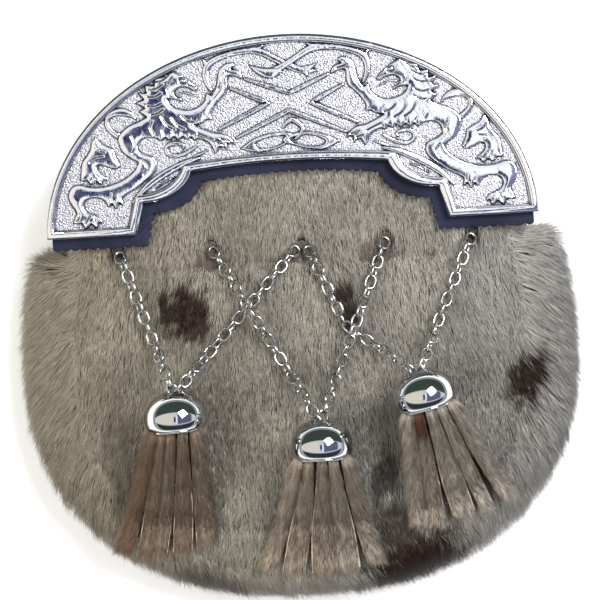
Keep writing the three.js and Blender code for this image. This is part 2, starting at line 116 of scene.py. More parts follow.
def ribbon(points, widths, closed=False, samples=6):
    """The outline of a band along a curve. Widths are spread evenly along it."""
    path = smooth_path(points, closed, samples)
    ahead = np.roll(path, -1, axis=0) - np.roll(path, 1, axis=0)
    if not closed:
        ahead[0], ahead[-1] = path[1] - path[0], path[-1] - path[-2]
    ahead /= np.linalg.norm(ahead, axis=1)[:, None]
    side = np.stack([-ahead[:, 1], ahead[:, 0]], axis=1)
    places = np.linspace(0, 1, len(path))
    half = np.interp(places, np.linspace(0, 1, len(widths)), widths)[:, None] / 2
    left, right = path + side * half, path - side * half
    return [left, right] if closed else [np.vstack([left, right[::-1]])]


def mirrored(loops, axis_x):
    return [np.stack([2 * axis_x - loop[:, 0], loop[:, 1]], axis=1) for loop in loops]


# %% Distances
def inside(points, loops):
    """Which points lie inside the loops, where a loop within a loop is a hole."""
    x, y = points.T
    odd = np.zeros(len(points), bool)
    for loop in loops:
        for (ax, ay), (bx, by) in zip(loop, np.roll(loop, -1, axis=0)):
            if ay != by:
                odd ^= ((ay > y) != (by > y)) & (x < ax + (y - ay) * (bx - ax) / (by - ay))
    return odd


def distance_to(points, lines):
    """The distance from each point to the nearest of the lines."""
    nearest = np.full(len(points), 1e9)
    for line in lines:
        for a, b in zip(line[:-1], line[1:]):
            along = b - a
            reach = max(along @ along, 1e-12)
            share = np.clip((points - a) @ along / reach, 0, 1)
            away = points - a - share[:, None] * along
            nearest = np.minimum(nearest, np.hypot(away[:, 0], away[:, 1]))
    return nearest


def closed_line(loop):
    return np.vstack([loop, loop[:1]])


# %% Pieces
def add_piece(name, source, materials, replaces=(), sharp=None):
    """Makes an object from a bmesh or a mesh in chord millimetres and lets it ride on the body."""
    mesh = source
    if isinstance(source, bmesh.types.BMesh):
        mesh = bpy.data.meshes.new(name)
        source.to_mesh(mesh)
        source.free()
    for material in materials if isinstance(materials, list) else [materials]:
        mesh.materials.append(material)
    mesh.transform(TO_FRAME)
    if sharp is not None:
        mesh.shade_smooth()
        mesh.set_sharp_from_angle(angle=math.radians(sharp))
    piece = bpy.data.objects.new(name, mesh)
    bpy.context.collection.objects.link(piece)
    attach(piece, "root")
    if replaces:
        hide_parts(*replaces)
    print(f"{name}: {len(mesh.polygons)} faces")
    return piece


def slab(bm, outline, low, high, rounding):
    """A flat outline with thickness, and an upper edge rounded by two small insets."""
    face = bm.faces.new([bm.verts.new((x, y, low)) for x, y in outline])
    grown = bmesh.ops.extrude_face_region(bm, geom=[face], use_keep_orig=True)
    top_verts = [v for v in grown["geom"] if isinstance(v, bmesh.types.BMVert)]
    bmesh.ops.translate(bm, vec=(0, 0, high - low - rounding), verts=top_verts)
    top_face = next(f for f in grown["geom"] if isinstance(f, bmesh.types.BMFace))
    bmesh.ops.recalc_face_normals(bm, faces=bm.faces)
    for inward, upward in ((0.3, 0.7), (0.7, 0.3)):
        bmesh.ops.inset_region(bm, faces=[top_face], thickness=rounding * inward, use_even_offset=True)
        bmesh.ops.translate(bm, vec=(0, 0, rounding * upward), verts=top_face.verts)
    bmesh.ops.triangulate(bm, faces=[f for f in bm.faces if len(f.verts) > 4])


# %% [markdown]
# ## Shader groups
# Three effects come back in several finishes, so each is a node group with its own values:
# the grain of leather, the patina and painted shade in the recesses of polished metal, and the
# colour of a hair from its root to its tip. A group only puts out colours and values, and the
# Principled shader stays in the material.

# %% Group helpers
def new_group(name, inputs, outputs):
    group = bpy.data.node_groups.new(name, "ShaderNodeTree")
    for label, kind, value in inputs:
        socket = group.interface.new_socket(label, in_out="INPUT", socket_type=f"NodeSocket{kind}")
        socket.default_value = value
    for label, kind in outputs:
        group.interface.new_socket(label, in_out="OUTPUT", socket_type=f"NodeSocket{kind}")
    enter = group.nodes.new("NodeGroupInput")
    leave = group.nodes.new("NodeGroupOutput")
    return group, enter.outputs, leave.inputs


class Nodes:
    """Adds nodes to a tree and links them by socket name."""

    def __init__(self, tree):
        self.tree = tree

    def add(self, kind, settings=(), **inputs):
        node = self.tree.nodes.new(f"ShaderNode{kind}")
        for key, value in dict(settings).items():
            setattr(node, key, value)
        for key, value in inputs.items():
            label = key.replace("_", " ")
            socket = node.inputs[int(key[1:])] if key[0] == "i" and key[1:].isdigit() else node.inputs[label]
            if isinstance(value, bpy.types.NodeSocket):
                self.tree.links.new(value, socket)
            else:
                socket.default_value = value
        return node

    def math(self, operation, *values):
        node = self.add("Math", {"operation": operation}, **{f"i{i}": v for i, v in enumerate(values)})
        return node.outputs[0]

    def mix(self, factor, a, b, blend="MIX"):
        node = self.add("Mix", {"data_type": "RGBA", "blend_type": blend}, i0=factor, i6=a, i7=b)
        return node.outputs[2]

    def fade(self, value, low, high, to_low=0.0, to_high=1.0):
        node = self.add(
            "MapRange", {"clamp": True}, Value=value,
            From_Min=low, From_Max=high, To_Min=to_low, To_Max=to_high,
        )
        return node.outputs[0]

    def noise(self, vector, scale, detail=3.0, roughness=0.5):
        node = self.add("TexNoise", Vector=vector, Scale=scale, Detail=detail, Roughness=roughness)
        return node.outputs[0]

    def group(self, group, **inputs):
        node = self.tree.nodes.new("ShaderNodeGroup")
        node.node_tree = group
        for key, value in inputs.items():
            socket = node.inputs[key.replace("_", " ")]
            if isinstance(value, bpy.types.NodeSocket):
                self.tree.links.new(value, socket)
            else:
                socket.default_value = value
        return node.outputs


def rgb(red, green, blue):
    return (red, green, blue, 1.0)


# %% Leather grain
grain_group, enter, leave = new_group(
    "leather grain",
    [("Vector", "Vector", (0, 0, 0)), ("Pebble Scale", "Float", 900.0), ("Crease", "Float", 0.4)],
    [("Height", "Float"), ("Wear", "Float")],
)
n = Nodes(grain_group)
pebbles = n.add("TexVoronoi", {"feature": "DISTANCE_TO_EDGE"}, Vector=enter["Vector"],
    Scale=enter["Pebble Scale"])
domed = n.fade(pebbles.outputs[0], 0.0, 0.35)
creases = n.noise(enter["Vector"], 260.0, 5.0, 0.65)
height = n.math("ADD", n.math("MULTIPLY", creases, enter["Crease"]), domed)
grain_group.links.new(height, leave["Height"])
grain_group.links.new(n.fade(n.noise(enter["Vector"], 70.0, 4.0), 0.4, 0.75), leave["Wear"])

# %% Patina and painted shade in recesses
patina_shade_group, enter, leave = new_group(
    "recess patina and shade",
    [("Distance", "Float", 0.0009), ("Sharpness", "Float", 0.6)],
    [("Mask", "Float")],
)
n = Nodes(patina_shade_group)
# Painted shade: ambient occlusion darkens the recesses, for their shade as well as their patina.
shut = n.add("AmbientOcclusion", {"samples": 12}, Distance=enter["Distance"])
mask = n.math("SUBTRACT", 1.0, shut.outputs["AO"])
deep = n.add("MapRange", {"clamp": True}, Value=mask, From_Min=0.2, From_Max=enter["Sharpness"])
patina_shade_group.links.new(deep.outputs[0], leave["Mask"])

# %% Hair colour
hair_group, enter, leave = new_group(
    "hair colour",
    [
        ("Along", "Float", 0.0), ("Tone", "Float", 0.5), ("Brown", "Float", 0.0),
        ("Root", "Color", rgb(0.05, 0.04, 0.03)), ("Dark", "Color", rgb(0.1, 0.09, 0.08)),
        ("Light", "Color", rgb(0.4, 0.37, 0.33)), ("Spot", "Color", rgb(0.03, 0.012, 0.008)),
    ],
    [("Color", "Color")],
)
n = Nodes(hair_group)
shaft = n.mix(enter["Tone"], enter["Dark"], enter["Light"])
spotted = n.mix(enter["Brown"], shaft, enter["Spot"])
whole = n.mix(n.fade(enter["Along"], 0.0, 0.55), enter["Root"], spotted)
hair_group.links.new(whole, leave["Color"])
print("groups:", ", ".join(group.name for group in bpy.data.node_groups))


# %% [markdown]
# ## Finishes
# Each finish is one material: polished casting, stippled casting, mirror-bright spun metal for
# the bell caps, plated chain wire, black leather, suede, skin under fur, and hair.

# %% Material helper
def new_material(name):
    material = bpy.data.materials.new(name)
    material.use_nodes = True
    tree = material.node_tree
    shader = tree.nodes["Principled BSDF"]
    n = Nodes(tree)
    place = n.add("TexCoord").outputs["Object"]
    return material, n, shader, place


def bump(n, shader, height, strength, distance):
    node = n.add("Bump", Height=height, Strength=strength, Distance=distance)
    n.tree.links.new(node.outputs[0], shader.inputs["Normal"])


def feed(n, shader, **links):
    for key, value in links.items():
        n.tree.links.new(value, shader.inputs[key.replace("_", " ")])


# %% Metals
# The near-black of patina, and of the shade painted into recesses.
PATINA_AND_SHADE = rgb(0.012, 0.012, 0.02)

polished_cast, n, shader, place = new_material("polished_casting")
patina_and_shade = n.group(patina_shade_group, Distance=0.0012, Sharpness=0.42)["Mask"]
smear = n.noise(place, 260.0, 4.0, 0.6)
bright = n.mix(n.fade(smear, 0.35, 0.7), rgb(0.78, 0.79, 0.84), rgb(0.9, 0.91, 0.94))
feed(n, shader, Base_Color=n.mix(patina_and_shade, bright, PATINA_AND_SHADE))
rough = n.math("ADD", n.fade(smear, 0.3, 0.8, 0.06, 0.15), n.math("MULTIPLY", patina_and_shade, 0.3))
feed(n, shader, Roughness=rough)
shader.inputs["Metallic"].default_value = 1.0
bump(n, shader, n.noise(place, 420.0, 2.0), 0.25, 0.0002)

stippled_cast, n, shader, place = new_material("stippled_casting")
patina_and_shade = n.group(patina_shade_group, Distance=0.0022, Sharpness=0.36)["Mask"]
pits = n.add("TexVoronoi", {"feature": "F1"}, Vector=place, Scale=1500.0, Randomness=1.0).outputs[0]
grit = n.noise(place, 2600.0, 2.0)
pitted = n.fade(pits, 0.15, 0.6)
tint = n.mix(n.fade(grit, 0.35, 0.68), rgb(0.2, 0.2, 0.225), rgb(0.6, 0.6, 0.64))
feed(n, shader, Base_Color=n.mix(patina_and_shade, tint, PATINA_AND_SHADE))
shader.inputs["Roughness"].default_value = 0.42
shader.inputs["Metallic"].default_value = 1.0
bump(n, shader, n.math("ADD", pitted, grit), 0.55, 0.00022)

mirror_metal, n, shader, place = new_material("mirror_metal")
film = n.noise(place, 120.0, 3.0)
feed(n, shader, Base_Color=n.mix(film, rgb(0.5, 0.52, 0.53), rgb(0.62, 0.64, 0.65)))
feed(n, shader, Roughness=n.fade(film, 0.3, 0.8, 0.03, 0.09))
shader.inputs["Metallic"].default_value = 1.0

chain_metal, n, shader, place = new_material("plated_wire")
patina_and_shade = n.group(patina_shade_group, Distance=0.0007, Sharpness=0.8)["Mask"]
worn = n.noise(place, 500.0, 3.0)
plate = n.mix(worn, rgb(0.36, 0.36, 0.35), rgb(0.62, 0.62, 0.6))
# Painted shade: the wire goes near black where the links touch and cross.
feed(n, shader, Base_Color=n.mix(patina_and_shade, plate, rgb(0.03, 0.03, 0.03)))
feed(n, shader, Roughness=n.fade(worn, 0.3, 0.8, 0.2, 0.38))
shader.inputs["Metallic"].default_value = 1.0
print("metals: polished_casting, stippled_casting, mirror_metal, plated_wire")

# %% Leathers
black_leather, n, shader, place = new_material("black_leather")
grain = n.group(grain_group, Vector=place, Pebble_Scale=1100.0, Crease=0.5)
feed(n, shader, Base_Color=n.mix(grain["Wear"], rgb(0.006, 0.007, 0.019), rgb(0.016, 0.018, 0.042)))
feed(n, shader, Roughness=n.fade(grain["Wear"], 0.0, 1.0, 0.5, 0.65))
shader.inputs["Specular IOR Level"].default_value = 0.16
bump(n, shader, grain["Height"], 0.35, 0.00012)

cut_hide, n, shader, place = new_material("cut_hide")
fleck = n.noise(place, 1800.0, 4.0, 0.7)
feed(n, shader, Base_Color=n.mix(fleck, rgb(0.3, 0.2, 0.12), rgb(0.72, 0.6, 0.46)))
shader.inputs["Roughness"].default_value = 0.85
bump(n, shader, fleck, 0.4, 0.0002)

# Painted shadow: near-black hide for the rear strips, standing in for the shade in the gaps between tassel strips.
painted_shadow_hide, n, shader, place = new_material("painted_shadow_hide")
fleck = n.noise(place, 900.0, 4.0, 0.7)
feed(n, shader, Base_Color=n.mix(fleck, rgb(0.008, 0.006, 0.005), rgb(0.03, 0.02, 0.016)))
shader.inputs["Roughness"].default_value = 0.9

thread, n, shader, place = new_material("waxed_thread")
ply = n.noise(place, 2400.0, 2.0)
feed(n, shader, Base_Color=n.mix(ply, rgb(0.01, 0.01, 0.012), rgb(0.05, 0.05, 0.055)))
shader.inputs["Roughness"].default_value = 0.55
bump(n, shader, ply, 0.4, 0.0001)

hole_dark, n, shader, place = new_material("hole_shadow")
lint = n.noise(place, 900.0, 3.0)
feed(n, shader, Base_Color=n.mix(lint, rgb(0.004, 0.004, 0.005), rgb(0.014, 0.012, 0.012)))
shader.inputs["Roughness"].default_value = 0.9


# %% Hair and the skin under it
def hair_material(name, root, dark_left, light_left, dark_right, light_right, spot):
    """Hair whose tint drifts from left to right across the pouch, from darker and browner to lighter and greyer."""
    material, n, shader, place = new_material(name)
    strand = n.add("Attribute", {"attribute_name": "strand"}).outputs["Color"]
    parts = n.add("SeparateColor", Color=strand).outputs
    across = n.add("SeparateXYZ", Vector=place).outputs[0]
    drift = n.fade(across, -0.075, 0.08)
    colour = n.group(
        hair_group, Along=parts[0], Tone=parts[1], Brown=parts[2], Root=root,
        Dark=n.mix(drift, dark_left, dark_right), Light=n.mix(drift, light_left, light_right), Spot=spot,
    )
    feed(n, shader, Base_Color=colour["Color"])
    shader.inputs["Roughness"].default_value = 0.5
    shader.inputs["Specular IOR Level"].default_value = 0.35
    return material


seal_hair = hair_material(
    "seal_hair", rgb(0.1, 0.082, 0.062),
    rgb(0.165, 0.145, 0.108), rgb(0.52, 0.465, 0.36),
    rgb(0.23, 0.22, 0.2), rgb(0.68, 0.66, 0.61), rgb(0.02, 0.0065, 0.004),
)
tassel_hair = hair_material(
    "tassel_hair", rgb(0.035, 0.026, 0.019),
    rgb(0.085, 0.065, 0.043), rgb(0.38, 0.29, 0.19),
    rgb(0.2, 0.18, 0.15), rgb(0.74, 0.67, 0.58), rgb(0.12, 0.052, 0.024),
)

fur_skin, n, shader, place = new_material("fur_skin")
combed = n.add("Mapping", Vector=place, Scale=(1.0, 0.14, 0.5)).outputs[0]
streak = n.noise(combed, 2400.0, 4.0, 0.6)
feed(n, shader, Base_Color=n.mix(n.fade(streak, 0.3, 0.7), rgb(0.025, 0.02, 0.015), rgb(0.1, 0.082, 0.066)))
shader.inputs["Roughness"].default_value = 0.9
bump(n, shader, streak, 0.6, 0.0004)
print("materials:", len(bpy.data.materials))

# %% [markdown]
# ## The cantle's plate and rim
# The cantle is one casting: a half-ellipse plate with a raised, polished rim. A rim could be a
# separate swept curve, but here it is raised from the plate itself: the outline is repeated
# again and again, each time a little further in and a little up or down, which is how a moulding
# with a groove and a bead is turned.

# %% Cantle outline
CANTLE_HALF_WIDTH = 82.5
CANTLE_HEIGHT = 64.4
ARM_END_X = 52.5
ARM_TOP = (50.0, 10.5)
LEAF_END = (33.2, 20.0)
INNER_CROWN_Y = 24.0


def bezier(points, samples):
    """A Bezier curve without its last point."""
    line = []
    for t in np.arange(samples) / samples:
        layer = [np.array(p, float) for p in points]
        while len(layer) > 1:
            layer = [a * (1 - t) + b * t for a, b in zip(layer, layer[1:])]
        line.append(layer[0])
    return line


def inner_edge(reach):
    """The cantle's inner edge from left to right, moved by reach towards the open middle."""
    arm_x, arm_y = ARM_TOP[0] - reach, ARM_TOP[1] - reach
    leaf_x, leaf_y = LEAF_END[0] - reach, LEAF_END[1] - reach
    corner = bezier([(arm_x, arm_y - 1), (arm_x, arm_y), (arm_x - 1.5, arm_y + 0.1)], 6)
    leaf = bezier(
        [(arm_x - 1.5, arm_y + 0.1), (arm_x - 8, arm_y), (leaf_x + 1.3, leaf_y - 6), (leaf_x, leaf_y)], 16
    )
    crown = bezier([(-leaf_x, leaf_y), (0, INNER_CROWN_Y - reach), (leaf_x, leaf_y)], 40)
    right = np.array(corner + leaf)
    left = right * (-1, 1)
    return np.vstack([left, crown, [[leaf_x, leaf_y]], right[::-1]])


def cantle_outline(inset=0.0):
    a, b = CANTLE_HALF_WIDTH - inset, CANTLE_HEIGHT - inset
    lift = math.asin(inset / b)
    angles = np.linspace(lift, math.pi - lift, 121)
    arc = np.stack([a * np.cos(angles), b * np.sin(angles)], axis=1)
    feet = [[-(ARM_END_X + inset), inset]], [[ARM_END_X + inset, inset]]
    return np.vstack([arc, feet[0], inner_edge(-inset), feet[1]])


# %% Plate and rim
RIM_STEPS = [  # how far in, how far up
    (0.3, 0.3), (0.5, 0.2), (0.9, 0.05), (0.4, -0.15), (0.12, -1.0), (0.45, 0.0), (0.12, None),
]
levels = [CANTLE_LOW, RIM_TOP - sum(rise for _, rise in RIM_STEPS[:3])]
insets = [0.0, 0.0]
for step, rise in RIM_STEPS:
    insets.append(insets[-1] + step)
    levels.append(FIELD_Z if rise is None else levels[-1] + rise)

bm = bmesh.new()
rings = [[bm.verts.new((x, y, z)) for x, y in cantle_outline(inset)] for inset, z in zip(insets, levels)]
for lower, upper in zip(rings, rings[1:]):
    for k, corner in enumerate(lower):
        bm.faces.new((lower[k - 1], corner, upper[k], upper[k - 1]))
bm.faces.new(rings[0])
field_face = bm.faces.new(rings[-1])
field_face.material_index = 1
bmesh.ops.recalc_face_normals(bm, faces=bm.faces)
bmesh.ops.triangulate(bm, faces=[f for f in bm.faces if len(f.verts) > 4])
add_piece(
    "cantle_plate", bm, [polished_cast, stippled_cast], ["cantle"], sharp=32
)

# %% [markdown]
# ## Cast relief
# The figures stand about a millimetre proud of the field. They could be carved in sculpt mode;
# here each is a flat outline filled with small triangles, whose height is worked out from the
# distance to the outline and to a few carved lines. That gives the crisp, rounded edge that
# polishing leaves, and the same rule serves a lion, a ribbon or a leaf.

# %% Relief tool
RELIEF_SPACING = 0.24
SUNK = 0.3


def relief(bm, loops, grooves=(), edge_height=0.85, edge_width=0.42, swell=0.16, swell_width=2.4):
    """Adds a raised figure to the mesh. Loops are its outlines, grooves the lines cut into it."""
    outline = [closed_line(loop) for loop in loops]
    rim = np.vstack(loops)
    low, high = rim.min(axis=0), rim.max(axis=0)
    rows = np.arange(low[1], high[1], RELIEF_SPACING * 0.87)
    grid = np.array([
        (x + (i % 2) * RELIEF_SPACING / 2, y)
        for i, y in enumerate(rows)
        for x in np.arange(low[0], high[0], RELIEF_SPACING)
    ])
    grid = grid[inside(grid, loops)]
    grid = grid[distance_to(grid, outline) > RELIEF_SPACING * 0.45]
    edges, start = [], 0
    for loop in loops:
        count = len(loop)
        edges += [(start + i, start + (i + 1) % count) for i in range(count)]
        start += count
    spots = [Vector(p) for p in np.vstack([rim, grid])]
    flat, _, faces, *_ = delaunay_2d_cdt(spots, edges, [], 0, 1e-6)
    flat = np.array([tuple(p) for p in flat])
    middles = np.array([flat[list(face)].mean(axis=0) for face in faces])
    kept = [face for face, keep in zip(faces, inside(middles, loops)) if keep]
    away = distance_to(flat, outline)
    edge = np.clip(away / edge_width, 0, 1)
    body = np.clip(away / swell_width, 0, 1)
    height = edge_height * np.sqrt(1 - (1 - edge) ** 2) + swell * (1 - (1 - body) ** 2)
    for line, depth, width in grooves:
        height = height - depth * np.exp(-((distance_to(flat, [line]) / width) ** 2))
    height = np.where(away < 1e-4, -SUNK, np.maximum(height, 0.05))
    verts = [bm.verts.new((x, y, FIELD_Z + h)) for (x, y), h in zip(flat, height)]
    made = [bm.faces.new([verts[i] for i in face]) for face in kept]
    border = [e for face in made for e in face.edges if len(e.link_faces) == 1]
    under = bmesh.ops.triangle_fill(bm, use_beauty=True, use_dissolve=False, edges=border)
    filled = [f for f in under["geom"] if isinstance(f, bmesh.types.BMFace)]
    for face in filled:
        face.normal_update()
        if face.normal.z > 0:
            face.normal_flip()
    spare = [v for v in verts if not v.link_faces]
    bmesh.ops.delete(bm, geom=spare, context="VERTS")


def carved(points, depth=0.28, width=0.17):
    return (smooth_path(points, closed=False), depth, width)


# %% [markdown]
# ## The lions
# Two rampant lions face each other across a diagonal cross. They are generic heraldic beasts:
# open jaw, ragged mane, one forepaw raised and one reaching down, a curled tail, and big clawed
# hind feet. One is drawn, and the other is its mirror image.

# %% Lion outline
LION_BODY = smooth_path([
    (-37.2, 54.1, 0), (-34.6, 52.7), (-32.0, 50.9), (-30.4, 49.4), (-28.9, 48.0, 0), (-30.2, 46.7, 0),
    (-32.4, 48.1), (-35.0, 48.5), (-37.0, 47.2), (-36.6, 45.6), (-34.6, 45.0, 0), (-34.4, 43.3, 0),
    (-36.9, 44.6), (-39.6, 44.8, 0), (-38.6, 43.0), (-36.5, 41.7), (-33.7, 41.0), (-30.9, 41.2),
    (-28.7, 42.3), (-27.2, 43.8), (-26.5, 46.5, 0), (-24.7, 45.4, 0), (-23.0, 48.4), (-22.5, 51.0),
    (-21.9, 53.4), (-20.3, 55.3), (-17.8, 56.0), (-16.4, 54.9), (-17.6, 53.7, 0), (-15.7, 53.3),
    (-14.2, 52.0), (-13.9, 49.9, 0), (-15.6, 50.7), (-17.0, 51.2, 0), (-18.8, 51.3), (-19.0, 48.8),
    (-19.5, 46.2), (-20.9, 44.7), (-22.0, 43.6, 0), (-22.9, 42.7), (-24.0, 41.2), (-25.2, 38.9),
    (-24.4, 36.9, 0), (-26.6, 37.2), (-27.9, 36.2, 0), (-31.0, 35.7, 0), (-27.9, 34.2), (-24.6, 32.8),
    (-21.9, 32.4), (-20.0, 31.4), (-18.5, 29.9), (-17.4, 27.8, 0), (-19.2, 29.0), (-20.4, 28.8, 0),
    (-20.3, 26.0, 0), (-21.6, 27.7), (-22.9, 27.8, 0), (-24.5, 25.2, 0), (-25.2, 27.2), (-26.2, 29.0),
    (-28.0, 30.3), (-30.1, 31.0, 0), (-31.2, 30.3, 0), (-32.2, 31.7, 0), (-33.8, 30.7, 0),
    (-34.9, 32.0, 0), (-36.7, 30.8, 0), (-37.9, 32.1, 0), (-39.8, 30.9, 0), (-40.9, 32.0, 0),
    (-42.6, 30.8, 0), (-43.8, 31.9, 0), (-46.0, 32.3), (-48.4, 32.0), (-50.0, 30.3), (-50.2, 28.2, 0),
    (-48.4, 27.0), (-45.6, 25.9), (-44.3, 24.2), (-44.5, 21.9), (-46.2, 19.6), (-48.6, 17.7),
    (-51.5, 15.6), (-54.6, 14.0), (-56.6, 12.7, 0), (-56.0, 9.5, 0), (-57.7, 11.1, 0), (-58.8, 8.8, 0),
    (-60.1, 10.9, 0), (-61.5, 9.4, 0), (-62.1, 11.4), (-63.8, 12.7), (-66.4, 13.2), (-68.8, 12.4),
    (-69.6, 10.4), (-68.3, 8.5), (-65.9, 7.4), (-64.2, 6.6), (-63.2, 4.3, 0), (-64.9, 4.9, 0),
    (-65.7, 2.9, 0), (-67.5, 4.5, 0), (-69.4, 2.8, 0), (-70.6, 4.9, 0), (-73.7, 4.7, 0), (-72.9, 6.8),
    (-72.2, 8.6), (-73.6, 11.0), (-74.6, 13.4), (-74.3, 15.8), (-72.8, 17.6), (-70.6, 18.0),
    (-68.0, 17.2), (-65.2, 16.8), (-62.2, 16.9), (-59.2, 17.6), (-56.4, 18.6), (-54.0, 20.0),
    (-51.6, 22.2), (-50.6, 24.2, 0), (-53.0, 25.7), (-55.4, 27.7), (-56.7, 30.6), (-56.9, 33.0),
    (-55.4, 35.0), (-52.9, 36.8), (-50.0, 37.9), (-47.0, 39.3, 0), (-49.6, 41.3, 0), (-47.4, 42.3, 0),
    (-50.6, 44.2, 0), (-47.6, 45.2, 0), (-49.6, 47.6, 0), (-46.6, 47.4, 0), (-47.0, 50.1, 0),
    (-43.8, 49.7, 0), (-43.2, 51.9), (-40.4, 52.5),
])
LION_HIND_LEG = smooth_path([
    (-64.5, 33.9, 0), (-62.7, 31.6), (-60.4, 30.3), (-58.5, 29.0), (-57.8, 26.4), (-56.3, 23.4, 0),
    (-57.9, 22.4), (-61.0, 23.3), (-63.6, 24.2), (-64.3, 22.8), (-62.9, 20.9), (-60.1, 18.9, 0),
    (-62.2, 19.0, 0), (-63.4, 17.3, 0), (-65.0, 18.7, 0), (-66.8, 17.5, 0), (-68.1, 19.2, 0),
    (-70.3, 19.0, 0), (-69.9, 22.6), (-69.4, 25.4), (-67.6, 27.7), (-66.4, 29.6), (-65.9, 31.8),
])
LION_TAIL = ribbon(
    [(-56.4, 33.2), (-58.6, 34.8), (-60.2, 37.0), (-59.9, 39.6), (-57.6, 41.2), (-54.6, 41.4),
     (-51.9, 40.2), (-50.2, 38.3)],
    [2.3, 2.0, 1.8, 1.8, 2.4, 2.9, 2.0, 0.3],
)[0]
LION_TONGUE = ribbon(
    [(-36.2, 46.4), (-33.8, 46.7), (-31.4, 45.9), (-28.6, 44.6)], [0.9, 1.0, 0.9, 0.5]
)[0]

# %% Lines carved into the lion
LION_EYE = smooth_path([(-35.3, 50.6), (-34.3, 51.6), (-32.7, 50.6), (-34.0, 49.8)])
LION_LINES = [
    (closed_line(LION_EYE), 0.5, 0.24),
    carved([(-30.2, 48.6), (-31.4, 49.0), (-32.6, 49.2)]),
    carved([(-37.4, 52.4), (-38.6, 50.6), (-39.4, 48.0), (-39.0, 45.8)]),
    carved([(-46.0, 48.4), (-43.2, 48.6), (-40.8, 49.9)]),
    carved([(-46.4, 46.0), (-43.8, 45.9), (-41.5, 47.0)]),
    carved([(-46.6, 43.0), (-44.2, 42.7), (-41.6, 43.6)]),
    carved([(-45.6, 40.0), (-43.4, 40.2), (-41.0, 41.6)]),
    carved([(-43.2, 50.8), (-41.0, 51.2), (-38.8, 52.8)]),
    carved([(-42.0, 39.0), (-40.6, 36.4), (-37.6, 34.4)], 0.3),
    carved([(-38.6, 38.4), (-37.0, 36.0), (-34.2, 34.4)], 0.3),
    carved([(-35.2, 38.8), (-33.4, 37.2), (-31.0, 36.6)], 0.35),
    carved([(-44.8, 33.2), (-45.8, 35.4), (-45.0, 37.8)], 0.3),
    carved([(-41.4, 32.8), (-42.0, 34.4), (-41.2, 36.0)], 0.25),
    carved([(-38.2, 32.8), (-38.6, 34.0)], 0.25),
    carved([(-52.4, 27.2), (-51.4, 29.6), (-52.4, 33.0)], 0.3),
    carved([(-49.4, 24.8), (-47.8, 22.6), (-49.0, 20.0)], 0.3),
    carved([(-30.2, 32.9), (-27.2, 31.6), (-24.8, 30.4)], 0.25),
    carved([(-22.6, 30.6), (-21.0, 30.2), (-19.4, 29.6)], 0.3),
    carved([(-24.0, 29.2), (-22.6, 28.9), (-21.4, 28.3)], 0.3),
    carved([(-19.8, 53.2), (-18.2, 52.6), (-16.0, 52.0)], 0.35),
    carved([(-22.4, 47.0), (-21.4, 49.0), (-20.9, 51.4)], 0.2),
    carved([(-67.6, 7.2), (-68.6, 5.8), (-69.2, 4.4)], 0.35),
    carved([(-66.2, 6.7), (-66.0, 5.2), (-65.8, 4.2)], 0.35),
    carved([(-71.2, 8.2), (-71.4, 6.6), (-72.4, 5.4)], 0.3),
    carved([(-57.8, 14.0), (-57.6, 12.6), (-57.4, 11.8)], 0.3),
    carved([(-60.2, 14.2), (-60.4, 12.8), (-60.2, 11.6)], 0.3),
]
LEG_LINES = [
    carved([(-66.6, 21.2), (-66.4, 20.0), (-66.6, 18.8)], 0.35),
    carved([(-64.6, 20.6), (-63.8, 19.6), (-63.4, 18.6)], 0.35),
    carved([(-66.8, 25.0), (-65.0, 26.6), (-62.0, 27.0)], 0.25),
    carved([(-65.2, 30.6), (-63.6, 29.0), (-61.4, 28.2)], 0.25),
]
MIRROR_X = 0.8


# %% Cast the lions
def lion(name, flip):
    def turned(loops):
        return mirrored(loops, MIRROR_X) if flip else loops

    def turned_lines(lines):
        return [(turned([line])[0], depth, width) for line, depth, width in lines]

    bm = bmesh.new()
    relief(bm, turned([LION_BODY]), turned_lines(LION_LINES))
    relief(bm, turned([LION_HIND_LEG]), turned_lines(LEG_LINES))
    relief(bm, turned([LION_TAIL]), edge_height=0.6)
    relief(bm, turned([LION_TONGUE]), edge_height=0.4, swell=0.1)
    return add_piece(name, bm, polished_cast, sharp=50)


lion("lion_left", False)
lion("lion_right", True)

# %% [markdown]
# ## Cross, knot and vines
# Between the lions lies a broad diagonal cross. Its arms are stippled like the field and only
# their edges are polished, so what is raised is four bent ridges. A loop knot lies below it and
# leafy ribbons cross above it. All of them are bands along a path, thick or thin.

# %% Cross
def ridge(points, width=1.0):
    return ribbon([(*p, 0) for p in points], [width * 0.6, width, width, width, width * 0.6], samples=10)


CROSS_RIDGES = [
    [(-13.6, 50.2), (1.4, 44.6), (15.0, 50.3)],
    [(-17.4, 30.4), (1.0, 38.8), (19.8, 30.4)],
    [(-18.6, 47.4), (-5.8, 41.6), (-23.2, 33.6)],
    [(19.8, 46.6), (8.4, 41.0), (24.0, 33.4)],
]
bm = bmesh.new()
for points in CROSS_RIDGES:
    relief(bm, ridge(points, 1.8), edge_height=0.8, edge_width=0.32, swell=0.06, swell_width=0.6)
add_piece("cross_ridges", bm, polished_cast, sharp=50)

# %% Knot
KNOT_LEFT = [
    smooth_path([(-16.4, 26.8, 0), (-11.0, 30.2), (-5.8, 31.5), (0.6, 31.4), (1.6, 29.9), (-1.2, 27.2),
                 (-5.8, 25.7), (-11.2, 25.4)]),
    smooth_path([(-10.9, 27.8), (-8.0, 29.6), (-3.6, 30.3), (-0.4, 29.7), (-2.8, 27.5), (-7.4, 26.6)]),
]
KNOT_RIGHT = [
    smooth_path([(18.0, 27.6, 0), (13.2, 29.9), (7.4, 31.4), (2.4, 31.2), (-1.8, 29.0), (2.0, 26.9),
                 (6.4, 25.6), (12.6, 25.2)]),
    smooth_path([(12.5, 27.4), (10.4, 29.2), (6.6, 30.2), (3.2, 29.9), (1.0, 28.8), (3.6, 27.5), (8.2,
        26.5)]),
]
bm = bmesh.new()
for loops in (KNOT_LEFT, KNOT_RIGHT):
    relief(bm, loops, edge_height=0.7, edge_width=0.3, swell=0.12, swell_width=1.0)
